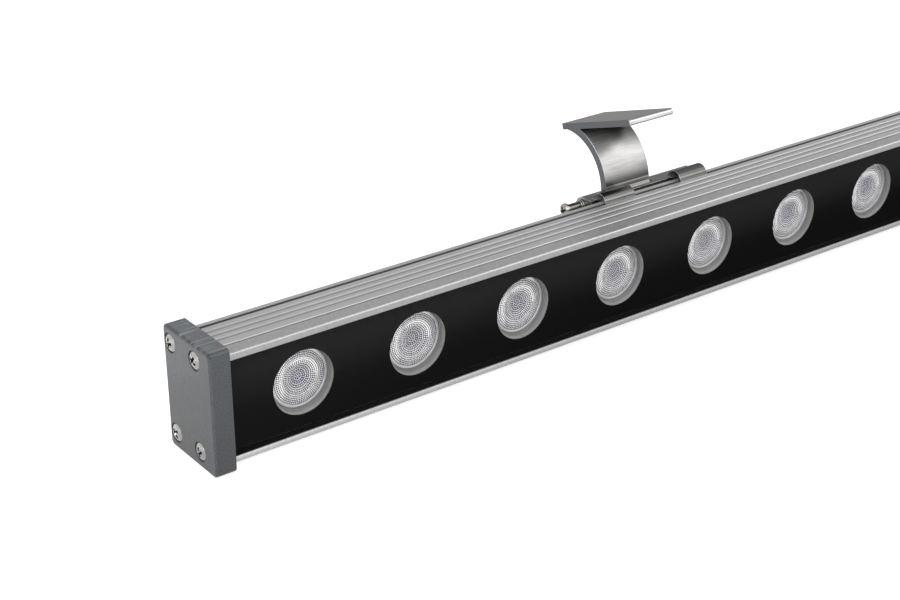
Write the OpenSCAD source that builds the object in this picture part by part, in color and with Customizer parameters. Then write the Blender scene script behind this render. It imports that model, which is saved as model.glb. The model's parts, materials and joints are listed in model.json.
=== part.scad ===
// Outdoor wall washer light: a long ribbed aluminium bar with a row of round lenses behind a black
// masked glass, closed by two end caps and carried on two tilting brackets that clip over a rail
// along its back edge.
// X runs along the bar, Y from the glass to the back and Z up. The origin is the middle of the
// underside of the left end cap, on which the bar stands.

/* [Light row] */
// Distance from one lens centre to the next
lens_pitch = 54; // [50:1:70]
// Lenses on one LED board
lenses_per_board = 6; // [4:1:6]
// LED boards end to end along the bar
board_count = 3; // [2:1:3]
// From an end cap's outer face to the nearest lens centre
end_margin = 42.5; // [38:0.5:60]

/* [Housing] */
// Height of the housing extrusion
housing_height = 46.3; // [45:0.1:60]
// Depth of the housing extrusion, front rim to back
housing_depth = 31.1; // [30:0.1:36]
// Top and bottom skins of the front chamber
skin = 2.4; // [2.2:0.1:3]
// Back wall behind the wire way
back_wall = 2.4; // [2:0.1:3]
// Web that carries the LED boards
web = 2.5; // [2:0.1:4]
// Height of the rims above and below the glass
rim_height = 2.8; // [2.4:0.1:4]
// Thickness of those rims in front of the glass
rim_thickness = 0.6; // [0.4:0.1:1]
// Rounding of the front edges
front_round = 0.8; // [0.4:0.1:1.2]
// Metal above and below the wire way behind the web
wire_way_wall = 9.15; // [8:0.05:12]

/* [Top and bottom ribs] */
// Middle of the dark front groove, from the front
front_groove_y = 7.3; // [6.8:0.1:8]
// Width of the front groove
front_groove_w = 1.3; // [0.8:0.1:1.6]
// Depth of the front groove
front_groove_depth = 0.9; // [0.8:0.1:1.1]
// Rounding of the land's front edge behind that groove
land_round = 0.8; // [0.2:0.1:0.8]
// Middle of the first shallow flute, from the front
flute_y = 13; // [11:0.1:14]
// Distance from one flute to the next
flute_pitch = 4; // [3.4:0.1:4.1]
// Number of shallow flutes
flute_count = 3; // [1:1:3]
// Radius of a flute's hollow
flute_radius = 1.6; // [1.2:0.1:2]
// Depth of a flute
flute_depth = 0.4; // [0.2:0.1:0.6]
// Front edge of the rail groove that the bracket clips hook into, from the back
rail_groove_in = 6.3; // [6:0.1:7]
// Width of the rail groove
rail_groove_w = 1.7; // [1.5:0.1:2]
// Depth of the rail groove
rail_groove_depth = 2.3; // [2:0.1:2.6]
// Width of the rail ridge behind that groove
rail_w = 2.2; // [2:0.1:3]
// Height that the back corner steps down behind the rail
rail_step = 1.7; // [1:0.1:1.9]

/* [Glass] */
// Thickness of the front glass
glass_thickness = 3; // [2.5:0.1:4]
// How far the glass reaches up behind each rim
glass_grip = 1.2; // [0.8:0.1:1.5]
// Thickness of the black mask on the glass's back
mask_thickness = 0.2; // [0.1:0.1:0.5]
// Thickness of the sealing frame behind the mask
seal_thickness = 1; // [0.6:0.1:1.6]
// Width of the sealing frame's strips
seal_w = 2.4; // [2:0.1:3]
// Thickness of the ledge that the seal presses on
ledge_thickness = 1.5; // [1:0.1:2]

/* [Lenses and LED boards] */
// Gap between the lens cups and the walls of the screw ports above them, which sets the windows' size
cup_clear = 0.95; // [0.5:0.05:2]
// How much narrower a lens's front is than its window
lens_less = 1.9; // [1:0.1:3.5]
// Height of a lens
lens_height = 9; // [8:0.1:10]
// Thickness of a lens's front flange
lens_flange = 1.6; // [1:0.1:2]
// Diameter of a lens's back
lens_back_d = 11; // [9:0.5:13]
// From the mask's back to the lens's front
lens_recess = 2.6; // [2.4:0.1:4]
// Height of the lens centres above the windows' centres
lens_rise = 0.8; // [0:0.1:1]
// Diameter of the hollow in a lens over its LED
led_hollow_d = 6; // [5.2:0.1:7]
// Depth of that hollow
led_hollow_depth = 3.4; // [3.2:0.1:4]
// Wall of the carrier's cups
cup_wall = 0.8; // [0.6:0.1:1]
// Gap between a cup's rim and the mask
cup_gap = 0.2; // [0.1:0.1:0.5]
// Thickness of the LED boards
board_thickness = 1.6; // [1:0.1:2]
// Gap from the LED boards' long edges to the skins
board_edge = 6.25; // [5.5:0.25:7]
// Side of an LED's body
led_side = 3.5; // [3:0.1:3.6]
// Height of an LED's body
led_height = 0.8; // [0.5:0.1:1]
// Radius of an LED's dome
led_dome_r = 1.3; // [1:0.1:1.5]
// Shank diameter of the board screws
board_screw_d = 3; // [2.5:0.5:3]

/* [End caps] */
// Thickness of an end cap along the bar
cap_thickness = 9; // [8:0.1:11]
// How far a cap stands proud above and below the housing
cap_over_z = 3; // [2.4:0.1:4]
// How far a cap stands proud in front and behind
cap_over_y = 1.85; // [1.6:0.05:3]
// Corner radius of a cap
cap_corner_r = 2.2; // [1:0.1:4]
// Rounding of a cap's outer edges
cap_edge_r = 0.8; // [0.4:0.1:1.2]
// Depth of the pocket that takes the housing's end
cap_pocket = 2.5; // [2:0.1:3.5]
// Thickness of the end gaskets
gasket_thickness = 1; // [0.6:0.1:1.5]
// Shank diameter of the cap screws
cap_screw_d = 3.5; // [3:0.1:3.6]
// Head diameter of the cap screws
cap_screw_head_d = 7.2; // [6.5:0.1:7.6]
// Head height of the cap screws
cap_screw_head_h = 1.8; // [1.6:0.1:2.4]
// Length of the cap screws under the head
cap_screw_len = 18; // [14:1:22]
// How far in from the housing's top and underside the cap screws stand
cap_screw_in_z = 3.75; // [3.7:0.05:4.2]
// Middle of the front pair of cap screws, from the front
cap_screw_front_y = 9.7; // [9.6:0.1:10.4]
// Middle of the back pair of cap screws, from the back
cap_screw_in_y = 3.1; // [2.9:0.1:3.3]

/* [Cable gland] */
// Thread diameter of the gland in the right end cap
gland_thread_d = 12; // [10:1:14]
// Across flats of the gland body's hexagon
gland_hex = 15; // [14:1:17]
// Thickness of that hexagon
gland_hex_h = 4; // [3:0.5:5]
// Length of the gland's clamping nut
gland_nut_len = 11; // [9:0.5:14]
// Diameter of the cable that the seal closes on
cable_d = 6; // [5:0.1:6.5]

/* [Brackets] */
// Place of each bracket as a share of the bar's length
bracket_place_share = 0.2378; // [0.2:0.0005:0.3]
// Width of the bracket arm along the bar
arm_w = 26; // [22:0.5:30]
// Drop of the tilt axis below the housing's top
pivot_drop = 3.8; // [3.3:0.1:4.3]
// Distance of the tilt axis behind the housing's back
pivot_back = 6.5; // [6.5:0.1:8]
// Radius of the hinge barrels
barrel_r = 3.8; // [3.4:0.1:4]
// Diameter of the pivot screw
pivot_d = 2.5; // [2:0.1:3]
// Thickness of the curved arm
arm_thickness = 3.7; // [3:0.1:4]
// Inner radius of the arm's curve
arm_curve_r = 23.6; // [22:0.1:25]
// Depth of the foot plate
plate_depth = 47; // [45:0.5:50]
// Thickness of the foot plate
plate_thickness = 3; // [2.5:0.1:3.5]
// Tilt of the foot plate's front edge above the level
plate_tilt = 18; // [14:0.5:20]
// Height of the foot plate's back end over the tilt axis
plate_rise = 27; // [26.5:0.1:27.5]

/* [Bracket clips] */
// Length of the clip's left part, from the arm's middle
clip_left = 26.3; // [25:0.1:34]
// Length of the clip's right part, from the arm's middle
clip_right = 38.4; // [36:0.1:42]
// Thickness of the clip's web behind the housing
clip_web = 2; // [1.6:0.1:2]
// Outer radius of the hooks that claw over the rail
hook_r = 4.6; // [4.2:0.1:4.8]
// Drop of a hook's round middle below the housing's top
hook_drop = 0.9; // [0.5:0.1:1.3]
// Left hook's left end, left of the arm's middle
hook_left_start = 23.2; // [23:0.1:26]
// Width of the left hook
hook_left_w = 17.3; // [14:0.1:18]
// Width of the right hook, which ends with the clip
hook_right_w = 16.4; // [14:0.1:18]
// Drop of the clip's lower lip below the housing's top
lip_drop = 15.3; // [14.3:0.1:17.3]
// Thickness of the clip's lower lip
lip_thickness = 1.6; // [1.2:0.1:2]
// How far the lip reaches into the housing's back
lip_reach = 1.1; // [0.8:0.1:1.2]
// Diameter of the clip's grub screws
grub_d = 4; // [3:0.5:4]
// Pivot screw's head diameter
pivot_head_d = 6.2; // [5.4:0.1:6.6]
// Pivot screw's head height
pivot_head_h = 2.4; // [1.8:0.1:2.8]
// Length of the spacer sleeve beside the head
sleeve_len = 7; // [3:0.1:8]
// Outer diameter of the spacer sleeve
sleeve_d = 4.4; // [4:0.1:5]
// Thickness of one washer
washer_t = 0.8; // [0.5:0.1:1]
// Outer diameter of the washers
washer_d = 5.8; // [5.4:0.1:6.4]
// Length of the pivot screw under the head
pivot_len = 66; // [62:1:72]

/* [Hidden] */
$fn = 48;
cut = 1; // overrun of every cut past the face it opens
slip = 0.1; // sliding clearance between metal parts
run = 0.05; // radial running clearance of a shaft
fit = 0.15; // clearance of a part in its pocket
slot_half = 0.3; // half the width of a small screw's slot
washer_step = 0.3; // the outer washer is this much smaller in radius

lens_count = board_count * lenses_per_board;
bar_length = 2 * end_margin + (lens_count - 1) * lens_pitch;
mid_z = housing_height / 2;
wire_way_height = housing_height - 2 * wire_way_wall;

// Cap screws and the ports that run along the housing for them
cap_screw_dz = mid_z - cap_screw_in_z;
cap_screw_back_y = housing_depth - cap_screw_in_y;
port_r = cap_screw_d / 2 + run;
port_wall = 1.3; // metal round a screw port
port_len = cap_screw_len; // depth of a port's thread

// The lens cups fill the height between the upper ports and the lower ones
cup_r = cap_screw_dz - port_r - port_wall - cup_clear - lens_rise;
cup_inner_r = cup_r - cup_wall;
window_d = 2 * cup_inner_r; // a cup's mouth is as wide as its window
lens_d = window_d - lens_less;
lens_z = mid_z + lens_rise;

// Layers from the front to the back
glass_y = rim_thickness;
mask_y = glass_y + glass_thickness;
seal_y = mask_y + mask_thickness;
ledge_y = seal_y + seal_thickness;
chamber_y = ledge_y + ledge_thickness;
lens_front_y = seal_y + lens_recess;
board_gap = 0.2; // between a lens's back and its board
board_y = lens_front_y + lens_height + board_gap;
web_y = board_y + board_thickness;
wire_way_y = web_y + web;
glass_height = housing_height - 2 * (rim_height - glass_grip);
ledge_height = 2; // how far a ledge reaches in from the skin
board_height = housing_height - 2 * (skin + board_edge);
rail_groove_y = housing_depth - rail_groove_in;
rear_skin_y = rail_groove_y + rail_groove_w;
rail_back_y = rear_skin_y + rail_w;

// The housing's ends stand on gaskets in the caps' pockets
housing_start = cap_thickness - cap_pocket + gasket_thickness;
housing_length = bar_length - 2 * housing_start;
cap_height = housing_height + 2 * cap_over_z;
cap_depth = housing_depth + 2 * cap_over_y;
screw_seat = 0.7; // depth of the shallow seat round a cap screw's head
seat_margin = 0.5; // seat's width round the head
seat_d = cap_screw_head_d + 2 * seat_margin;
dome_share = 0.45; // share of a screw head's height that is domed
cross_w = 0.9; // width of a cross recess's arm
cross_depth_share = 0.5; // share of a head's height that its cross recess takes

gland_y = (lens_front_y + web_y) / 2;
gland_wall = 2.2; // wall of the gland's body at its bore
gland_bore_d = gland_thread_d - 2 * gland_wall;
gland_inner_len = cap_thickness - cap_pocket - slip; // threaded length through the cap
gland_neck_len = 8; // threaded neck that the clamping nut screws on
gland_neck_step = 0.6; // from the thread's radius in to the neck's
gland_neck_d = gland_thread_d - 2 * gland_neck_step;
nut_hex_share = 0.6; // share of the clamping nut's length that is a hexagon
nut_dome_share = 0.65; // radius of its domed end as a share of the hexagon

pivot_y = housing_depth + pivot_back;
pivot_z = housing_height - pivot_drop;
hook_mid_z = housing_height - hook_drop;
lip_z = housing_height - lip_drop;
bracket_x = bar_length * bracket_place_share;
bracket_step = bar_length - 2 * bracket_x;
barrel_gap = 0.2; // between the arm's barrel and the clip's
web_front_y = housing_depth + slip;
web_back_y = web_front_y + clip_web;
hook_front_y = rail_groove_y + slip;
hook_nose = rail_groove_w - 2 * slip;
hook_z = housing_height + slip;
lip_bottom_z = lip_z - lip_thickness / 2;
lip_slot = lip_thickness + 2 * slip;
clip_bottom_z = lip_bottom_z - slip;
grub_drop = 1.2; // from the barrels down to the grub screws
grub_z = pivot_z - barrel_r - grub_d / 2 - grub_drop;
grub_len = 5;
grub_boss_w = 2 * grub_d;
grub_boss_y = 1.6; // how far the web thickens round a grub screw
grub_left_x = -(clip_left - grub_boss_w / 2);
grub_right_x = clip_right - grub_boss_w / 2;
grub_tip_gap = 0.1;
hex_share = 0.5; // share of a grub screw's width that its hexagon socket takes
pivot_bore_r = pivot_d / 2 + run;
curve_back = 25.9; // the arm's centre of curvature behind the tilt axis
curve_up = 1.5; // the arm's centre of curvature above the tilt axis
plate_back = 30.5; // the foot plate's back end behind the tilt axis
washer_stack = 2 * (washer_t + run);
head_x = -(clip_left + washer_stack + sleeve_len + run);

board_end_gap = 0.5; // from a board's end to the half pitch
terminal_gap = 1.95; // from the last lens cup to the terminal block
terminal_w = lens_pitch / 2 - board_end_gap - cup_r - terminal_gap;
terminal_h = 12;
terminal_depth = 8;
terminal_screw_d = 3;
terminal_wire_d = 2.4;
link_w = 10; // bridge between two boards along the bar
link_h = 6;
link_depth = 3.2;
chip_w = 5; // regulator chip along the bar
chip_h = 4;
chip_depth = 1.6;
chip_edge = 1.5; // from a chip to the board's lower edge
web_bar_h = 8; // bar that joins a carrier's cups, under the board screws' heads
web_bar_t = 1.6;
cup_fit = 0.15;
cup_seat = 1; // inner shelf that a lens's flange sits on
board_head_d = 5.5;
board_head_h = 2;
board_screw_end = 0.5; // from a board screw's tip to the web's back
board_screw_len = web_bar_t + board_thickness + web - board_screw_end;

function lens_x(i) = end_margin + (i - 1) * lens_pitch;
function board_mid_x(b) = (lens_x((b - 1) * lenses_per_board + 1) + lens_x(b * lenses_per_board)) / 2;
function is_left(side) = side == "left";

// Moves bar coordinates, from the cap's outer face, the front rim and the housing's underside,
// to the part's own origin
module in_frame() {
    translate([-cap_thickness / 2, -housing_depth / 2, cap_over_z]) children();
}

// Runs a section drawn as depth by height along the bar
module along_bar(start, length) {
    translate([start, 0, 0]) rotate([90, 0, 90]) linear_extrude(length) children();
}

// Turns a piece drawn up the Z axis so that it points to the glass, at a place on the bar
module facing_front(x, y, z) {
    translate([x, y, z]) rotate([90, 0, 0]) children();
}

// Turns a piece drawn up the Z axis so that it points along the bar
module pointing_right(x, y, z) {
    translate([x, y, z]) rotate([0, 90, 0]) children();
}

module rounded_rect(w, h, r) {
    translate([r, 0]) square([w - 2 * r, h]);
    translate([0, r]) square([w, h - 2 * r]);
    for (x = [r, w - r], y = [r, h - r]) translate([x, y]) circle(r);
}

module tube(outer_r, inner_r, h) {
    difference() {
        cylinder(r = outer_r, h = h);
        translate([0, 0, -cut]) cylinder(r = inner_r, h = h + 2 * cut);
    }
}

// A pan head screw standing on z = 0, its shank below and a cross recess in its domed head
module pan_screw(head_d, head_h, shank_d, shank_len) {
    rim_h = head_h * (1 - dome_share);
    dome_h = head_h - rim_h;
    dome_r = (pow(head_d / 2, 2) + pow(dome_h, 2)) / (2 * dome_h);
    difference() {
        union() {
            cylinder(d = head_d, h = rim_h);
            intersection() {
                translate([0, 0, head_h - dome_r]) sphere(dome_r, $fn = 64);
                cylinder(d = head_d, h = head_h + cut);
            }
        }
        for (a = [0, 90]) rotate(a)
            translate([-head_d * dome_share / 2, -cross_w / 2, head_h * (1 - cross_depth_share)])
                cube([head_d * dome_share, cross_w, head_h]);
    }
    translate([0, 0, -shank_len]) cylinder(d = shank_d, h = shank_len);
}

// The housing's section, drawn as depth by height
module housing_section() {
    difference() {
        housing_outline();
        // glass slot and front opening
        translate([glass_y, rim_height - glass_grip - slip])
            square([ledge_y - glass_y, glass_height + 2 * slip]);
        translate([-cut, rim_height]) square([glass_y + 2 * cut, housing_height - 2 * rim_height]);
        // opening between the ledges, then the front chamber
        translate([seal_y, skin + ledge_height])
            square([web_y - seal_y, housing_height - 2 * (skin + ledge_height)]);
        difference() {
            translate([chamber_y, skin]) square([web_y - chamber_y, housing_height - 2 * skin]);
            for (s = [-1, 1]) translate([cap_screw_front_y, mid_z + s * cap_screw_dz])
                circle(port_r + port_wall);
        }
        translate([wire_way_y, mid_z - wire_way_height / 2])
            square([housing_depth - back_wall - wire_way_y, wire_way_height]);
        // slots along the back for the clips' lower lips
        translate([housing_depth - lip_reach - slip, lip_z - lip_slot / 2])
            square([lip_reach + cut, lip_slot]);
    }
}

// The housing's outline with its grooves and flutes, the same above and below
module housing_outline() {
    difference() {
        union() {
            rounded_rect(housing_depth - front_round, housing_height, front_round);
            translate([housing_depth / 2, 0]) square([housing_depth / 2, housing_height]);
        }
        for (flip = [0, 1]) translate([0, flip * housing_height]) mirror([0, flip]) {
            translate([front_groove_y - front_groove_w / 2, -cut])
                square([front_groove_w, front_groove_depth + cut]);
            translate([front_groove_y + front_groove_w / 2, 0]) difference() {
                translate([-front_groove_w / 2, -cut])
                    square([front_groove_w / 2 + land_round, land_round + cut]);
                translate([land_round, land_round]) circle(land_round);
            }
            for (i = [0:flute_count - 1])
                translate([flute_y + i * flute_pitch, flute_depth - flute_radius])
                    circle(flute_radius);
            translate([rail_groove_y, -cut]) square([rail_groove_w, rail_groove_depth + cut]);
            translate([rail_back_y, -cut]) square([housing_depth - rail_back_y + cut, rail_step + cut]);
        }
    }
}

module cap_screw_places() {
    for (y = [cap_screw_front_y, cap_screw_back_y], s = [-1, 1])
        translate([y, mid_z + s * cap_screw_dz]) children();
}

module housing() {
    color([0.72, 0.72, 0.73]) difference() {
        along_bar(housing_start, housing_length) housing_section();
        for (x = [housing_start - cut, housing_start + housing_length - port_len])
            along_bar(x, port_len + cut) cap_screw_places() circle(port_r);
        for (x = board_screw_xs()) facing_front(x, web_y + web + cut, mid_z)
            cylinder(r = board_screw_d / 2 + run, h = web + 2 * cut);
    }
}

function board_screw_xs() = [for (b = [0:board_count - 1], k = [1:2:lenses_per_board - 1])
    lens_x(b * lenses_per_board + k) + lens_pitch / 2];

module front_glass() {
    color([0.75, 0.8, 0.8, 0.4])
        translate([housing_start, glass_y, rim_height - glass_grip])
            cube([housing_length, glass_thickness, glass_height]);
}

module front_mask() {
    color([0.04, 0.04, 0.04]) difference() {
        translate([housing_start, mask_y, rim_height - glass_grip])
            cube([housing_length, mask_thickness, glass_height]);
        for (i = [1:lens_count]) facing_front(lens_x(i), seal_y + cut, mid_z)
            cylinder(d = window_d, h = mask_thickness + 2 * cut, $fn = 64);
    }
}

module glass_seal() {
    color([0.2, 0.2, 0.2]) difference() {
        translate([housing_start, seal_y, rim_height - glass_grip])
            cube([housing_length, seal_thickness, glass_height]);
        translate([housing_start + seal_w, seal_y - cut, rim_height - glass_grip + seal_w])
            cube([housing_length - 2 * seal_w, seal_thickness + 2 * cut, glass_height - 2 * seal_w]);
    }
}

// A left end cap, drawn with its outer face at x = 0
module end_cap_body() {
    difference() {
        intersection() {
            translate([0, -cap_over_y, -cap_over_z]) along_bar(0, cap_thickness)
                rounded_rect(cap_depth, cap_height, cap_corner_r);
            // outer edges rolled over along the height and along the depth
            translate([0, -cap_over_y, -cap_over_z]) linear_extrude(cap_height)
                outer_rolled(cap_thickness, cap_depth);
            translate([0, cap_depth - cap_over_y, -cap_over_z]) rotate([90, 0, 0])
                linear_extrude(cap_depth) outer_rolled(cap_thickness, cap_height);
        }
        translate([0, -fit, -fit]) along_bar(cap_thickness - cap_pocket, cap_pocket + cut)
            square([housing_depth + 2 * fit, housing_height + 2 * fit]);
        along_bar(-cut, cap_thickness + 2 * cut) cap_screw_places() circle(port_r + fit);
        along_bar(-cut, screw_seat + cut) cap_screw_places() circle(d = seat_d);
    }
}

module outer_rolled(t, d) {
    translate([cap_edge_r, 0]) square([t - cap_edge_r, d]);
    translate([0, cap_edge_r]) square([t, d - 2 * cap_edge_r]);
    for (y = [cap_edge_r, d - cap_edge_r]) translate([cap_edge_r, y]) circle(cap_edge_r);
}

module at_right_end() {
    translate([bar_length, 0, 0]) mirror([1, 0, 0]) children();
}

module end_cap_left() {
    color([0.36, 0.38, 0.41]) end_cap_body();
}

module end_cap_right() {
    color([0.36, 0.38, 0.41]) difference() {
        at_right_end() end_cap_body();
        pointing_right(bar_length - cap_thickness - cut, gland_y, mid_z)
            cylinder(r = gland_thread_d / 2 + run, h = cap_thickness + 2 * cut);
    }
}

module end_gasket() {
    opening_y = chamber_y + port_wall;
    difference() {
        along_bar(cap_thickness - cap_pocket, gasket_thickness)
            square([housing_depth, housing_height]);
        along_bar(cap_thickness - cap_pocket - cut, gasket_thickness + 2 * cut) {
            cap_screw_places() circle(port_r);
            translate([opening_y, mid_z - wire_way_height / 2])
                square([housing_depth - back_wall - opening_y, wire_way_height]);
        }
    }
}

module end_gasket_left() {
    color([0.12, 0.12, 0.12]) end_gasket();
}

module end_gasket_right() {
    color([0.12, 0.12, 0.12]) at_right_end() end_gasket();
}

module cap_screws() {
    cap_screw_places_3d() rotate([0, -90, 0])
        pan_screw(cap_screw_head_d, cap_screw_head_h, cap_screw_d, cap_screw_len);
}

module cap_screw_places_3d() {
    for (y = [cap_screw_front_y, cap_screw_back_y], s = [-1, 1])
        translate([screw_seat, y, mid_z + s * cap_screw_dz]) children();
}

module cap_screws_left() {
    color([0.75, 0.74, 0.7]) cap_screws();
}

module cap_screws_right() {
    color([0.75, 0.74, 0.7]) at_right_end() cap_screws();
}

module gland_body() {
    color([0.7, 0.7, 0.68]) pointing_right(bar_length, gland_y, mid_z) difference() {
        union() {
            translate([0, 0, -gland_inner_len]) cylinder(d = gland_thread_d, h = gland_inner_len);
            cylinder(d = gland_hex / cos(30), h = gland_hex_h, $fn = 6);
            cylinder(d = gland_neck_d, h = gland_hex_h + gland_neck_len);
        }
        translate([0, 0, -gland_inner_len - cut])
            cylinder(d = gland_bore_d, h = gland_inner_len + gland_hex_h + gland_neck_len + 2 * cut);
    }
}

module gland_nut() {
    color([0.7, 0.7, 0.68]) pointing_right(bar_length + gland_hex_h + slip, gland_y, mid_z) difference() {
        union() {
            cylinder(d = gland_hex / cos(30), h = gland_nut_len * nut_hex_share, $fn = 6);
            intersection() {
                cylinder(d = gland_hex, h = gland_nut_len);
                translate([0, 0, gland_nut_len - gland_hex * nut_dome_share])
                    sphere(gland_hex * nut_dome_share, $fn = 64);
            }
        }
        translate([0, 0, -cut]) cylinder(r = gland_neck_d / 2 + run, h = gland_neck_len + cut);
        translate([0, 0, -cut]) cylinder(r = cable_d / 2 + run, h = gland_nut_len + 2 * cut);
    }
}

module gland_seal() {
    color([0.1, 0.1, 0.1]) pointing_right(bar_length + slip, gland_y, mid_z)
        tube(gland_bore_d / 2 - run, cable_d / 2 + run, gland_hex_h + gland_neck_len - 2 * slip);
}

module led_board(b) {
    half = lenses_per_board * lens_pitch / 2 - board_end_gap;
    color([0.9, 0.9, 0.88]) difference() {
        translate([board_mid_x(b) - half, board_y, mid_z - board_height / 2])
            cube([2 * half, board_thickness, board_height]);
        for (x = board_screw_xs()) facing_front(x, web_y + cut, mid_z)
            cylinder(r = board_screw_d / 2 + run, h = board_thickness + 2 * cut);
    }
}

module led_group(b) {
    color([0.95, 0.85, 0.4]) for (i = [1:lenses_per_board])
        facing_front(lens_x((b - 1) * lenses_per_board + i), board_y, lens_z) {
            translate([-led_side / 2, -led_side / 2, 0]) cube([led_side, led_side, led_height]);
            intersection() {
                translate([0, 0, led_height]) sphere(led_dome_r);
                cylinder(r = led_side / 2, h = led_height + led_dome_r + cut);
            }
        }
}

module lens_carrier(b) {
    first = lens_x((b - 1) * lenses_per_board + 1);
    last = lens_x(b * lenses_per_board);
    cup_h = board_y - seal_y - cup_gap;
    lens_front = lens_height + board_gap;
    flange_z = lens_front - lens_flange;
    color([0.85, 0.86, 0.86]) difference() {
        union() {
            for (i = [0:lenses_per_board - 1]) facing_front(first + i * lens_pitch, board_y, lens_z)
                cylinder(r = cup_r, h = cup_h, $fn = 64);
            translate([first, board_y - web_bar_t, mid_z - web_bar_h / 2])
                cube([last - first, web_bar_t, web_bar_h]);
        }
        for (i = [0:lenses_per_board - 1]) facing_front(first + i * lens_pitch, board_y, lens_z) {
            translate([0, 0, lens_front]) cylinder(r = cup_inner_r, h = cup_h, $fn = 64);
            translate([0, 0, flange_z]) cylinder(r = lens_d / 2 + cup_fit, h = cup_h, $fn = 64);
            translate([0, 0, -cut])
                cylinder(r = lens_d / 2 - cup_seat, h = cup_h + 2 * cut, $fn = 64);
        }
        for (x = board_screw_xs()) facing_front(x, board_y + cut, mid_z)
            cylinder(r = board_screw_d / 2 + run, h = web_bar_t + 2 * cut);
    }
}

module lens(i) {
    flange_seat_r = lens_d / 2;
    body_r = flange_seat_r - cup_seat - cup_fit;
    color([0.86, 0.88, 0.9, 0.6]) facing_front(lens_x(i), board_y - board_gap, lens_z)
        difference() {
            rotate_extrude($fn = 64) polygon([
                [0, 0], [lens_back_d / 2, 0], [body_r, lens_height - lens_flange],
                [flange_seat_r, lens_height - lens_flange], [flange_seat_r, lens_height],
                [0, lens_height]]);
            translate([0, 0, -cut]) cylinder(d = led_hollow_d, h = led_hollow_depth + cut);
        }
}

module board_screws() {
    color([0.7, 0.7, 0.68]) for (x = board_screw_xs()) facing_front(x, board_y - web_bar_t, mid_z)
        pan_screw(board_head_d, board_head_h, board_screw_d, board_screw_len);
}

module board_links() {
    color([0.95, 0.95, 0.92]) for (b = [1:board_count - 1])
        translate([lens_x(b * lenses_per_board) + lens_pitch / 2 - link_w / 2, board_y - link_depth,
            mid_z - link_h / 2])
            cube([link_w, link_depth, link_h]);
}

module regulator_chips() {
    color([0.15, 0.15, 0.15]) for (x = board_screw_xs())
        translate([x - chip_w / 2, board_y - chip_depth, mid_z + board_height / 2 - chip_edge - chip_h])
            cube([chip_w, chip_depth, chip_h]);
}

function terminal_x() = lens_x(lens_count) + cup_r + terminal_gap;

module terminal_block() {
    color([0.2, 0.35, 0.3]) difference() {
        translate([terminal_x(), board_y - terminal_depth, mid_z - terminal_h / 2])
            cube([terminal_w, terminal_depth, terminal_h]);
        for (s = [-1, 1]) {
            pointing_right(terminal_x() + terminal_w / 2, board_y - terminal_depth / 3,
                mid_z + s * terminal_h / 4) cylinder(d = terminal_wire_d, h = terminal_w);
            facing_front(terminal_x() + terminal_w / 2, board_y - terminal_depth / 2,
                mid_z + s * terminal_h / 4)
                cylinder(r = terminal_screw_d / 2 + run, h = terminal_depth);
        }
    }
}

module terminal_screws() {
    color([0.7, 0.7, 0.68]) for (s = [-1, 1])
        facing_front(terminal_x() + terminal_w / 2, board_y - terminal_depth / 2,
            mid_z + s * terminal_h / 4) difference() {
                cylinder(d = terminal_screw_d, h = terminal_depth / 3);
                translate([-terminal_screw_d, -slot_half, terminal_depth / 3 - 2 * slot_half])
                    cube([2 * terminal_screw_d, 2 * slot_half, cut]);
            }
}

// Places a bracket's pieces, with x = 0 at the arm's middle
module at_bracket(side) {
    translate([bracket_x + (is_left(side) ? 0 : bracket_step), 0, 0]) children();
}

// The arm's section about the tilt axis: barrel, curved arm and foot plate
module arm_section() {
    outer_r = arm_curve_r + arm_thickness;
    difference() {
        union() {
            circle(barrel_r);
            intersection() {
                translate([curve_back, curve_up]) difference() {
                    circle(outer_r, $fn = 96);
                    circle(arm_curve_r, $fn = 96);
                }
                // below the foot plate's top, in front of its back end and above the barrel's middle
                polygon([[-barrel_r, 0], [plate_back - plate_rise * tan(plate_tilt), 0],
                    [plate_back, plate_rise],
                    [plate_back - plate_depth * cos(plate_tilt),
                     plate_rise + plate_depth * sin(plate_tilt)]]);
            }
            translate([plate_back, plate_rise]) rotate(-plate_tilt) {
                translate([-plate_depth + plate_thickness / 2, -plate_thickness])
                    square([plate_depth - plate_thickness / 2, plate_thickness]);
                translate([-plate_depth + plate_thickness / 2, -plate_thickness / 2])
                    circle(d = plate_thickness);
            }
        }
        circle(pivot_bore_r);
    }
}

module bracket_arm(side) {
    color([0.8, 0.8, 0.79]) at_bracket(side)
        translate([0, pivot_y, pivot_z]) along_bar(-arm_w / 2, arm_w) arm_section();
}

// The clip's web behind the housing with its lower lip
module clip_web_section() {
    translate([web_front_y, clip_bottom_z]) square([clip_web, hook_z - clip_bottom_z]);
    translate([housing_depth - lip_reach, lip_bottom_z])
        square([lip_reach + clip_web, lip_thickness]);
}

// A knuckle's barrel and its tie to the web
module knuckle_section() {
    translate([pivot_y, pivot_z]) circle(barrel_r);
    translate([web_front_y, pivot_z - barrel_r]) square([pivot_y - web_front_y, 2 * barrel_r]);
}

// A round claw over the housing's rail, with a nose in the rail groove
module hook_section() {
    hook_mid_y = hook_front_y + hook_r;
    difference() {
        translate([hook_mid_y, hook_mid_z]) circle(hook_r);
        translate([hook_front_y + hook_nose, hook_z - 2 * hook_r])
            square([web_front_y - hook_front_y - hook_nose, 2 * hook_r]);
        translate([hook_front_y - cut, hook_z - rail_groove_depth - 2 * hook_r])
            square([hook_nose + 2 * cut, 2 * hook_r]);
        translate([web_back_y, hook_mid_z - 2 * hook_r]) square([hook_r, 2 * hook_r]);
    }
}

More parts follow.
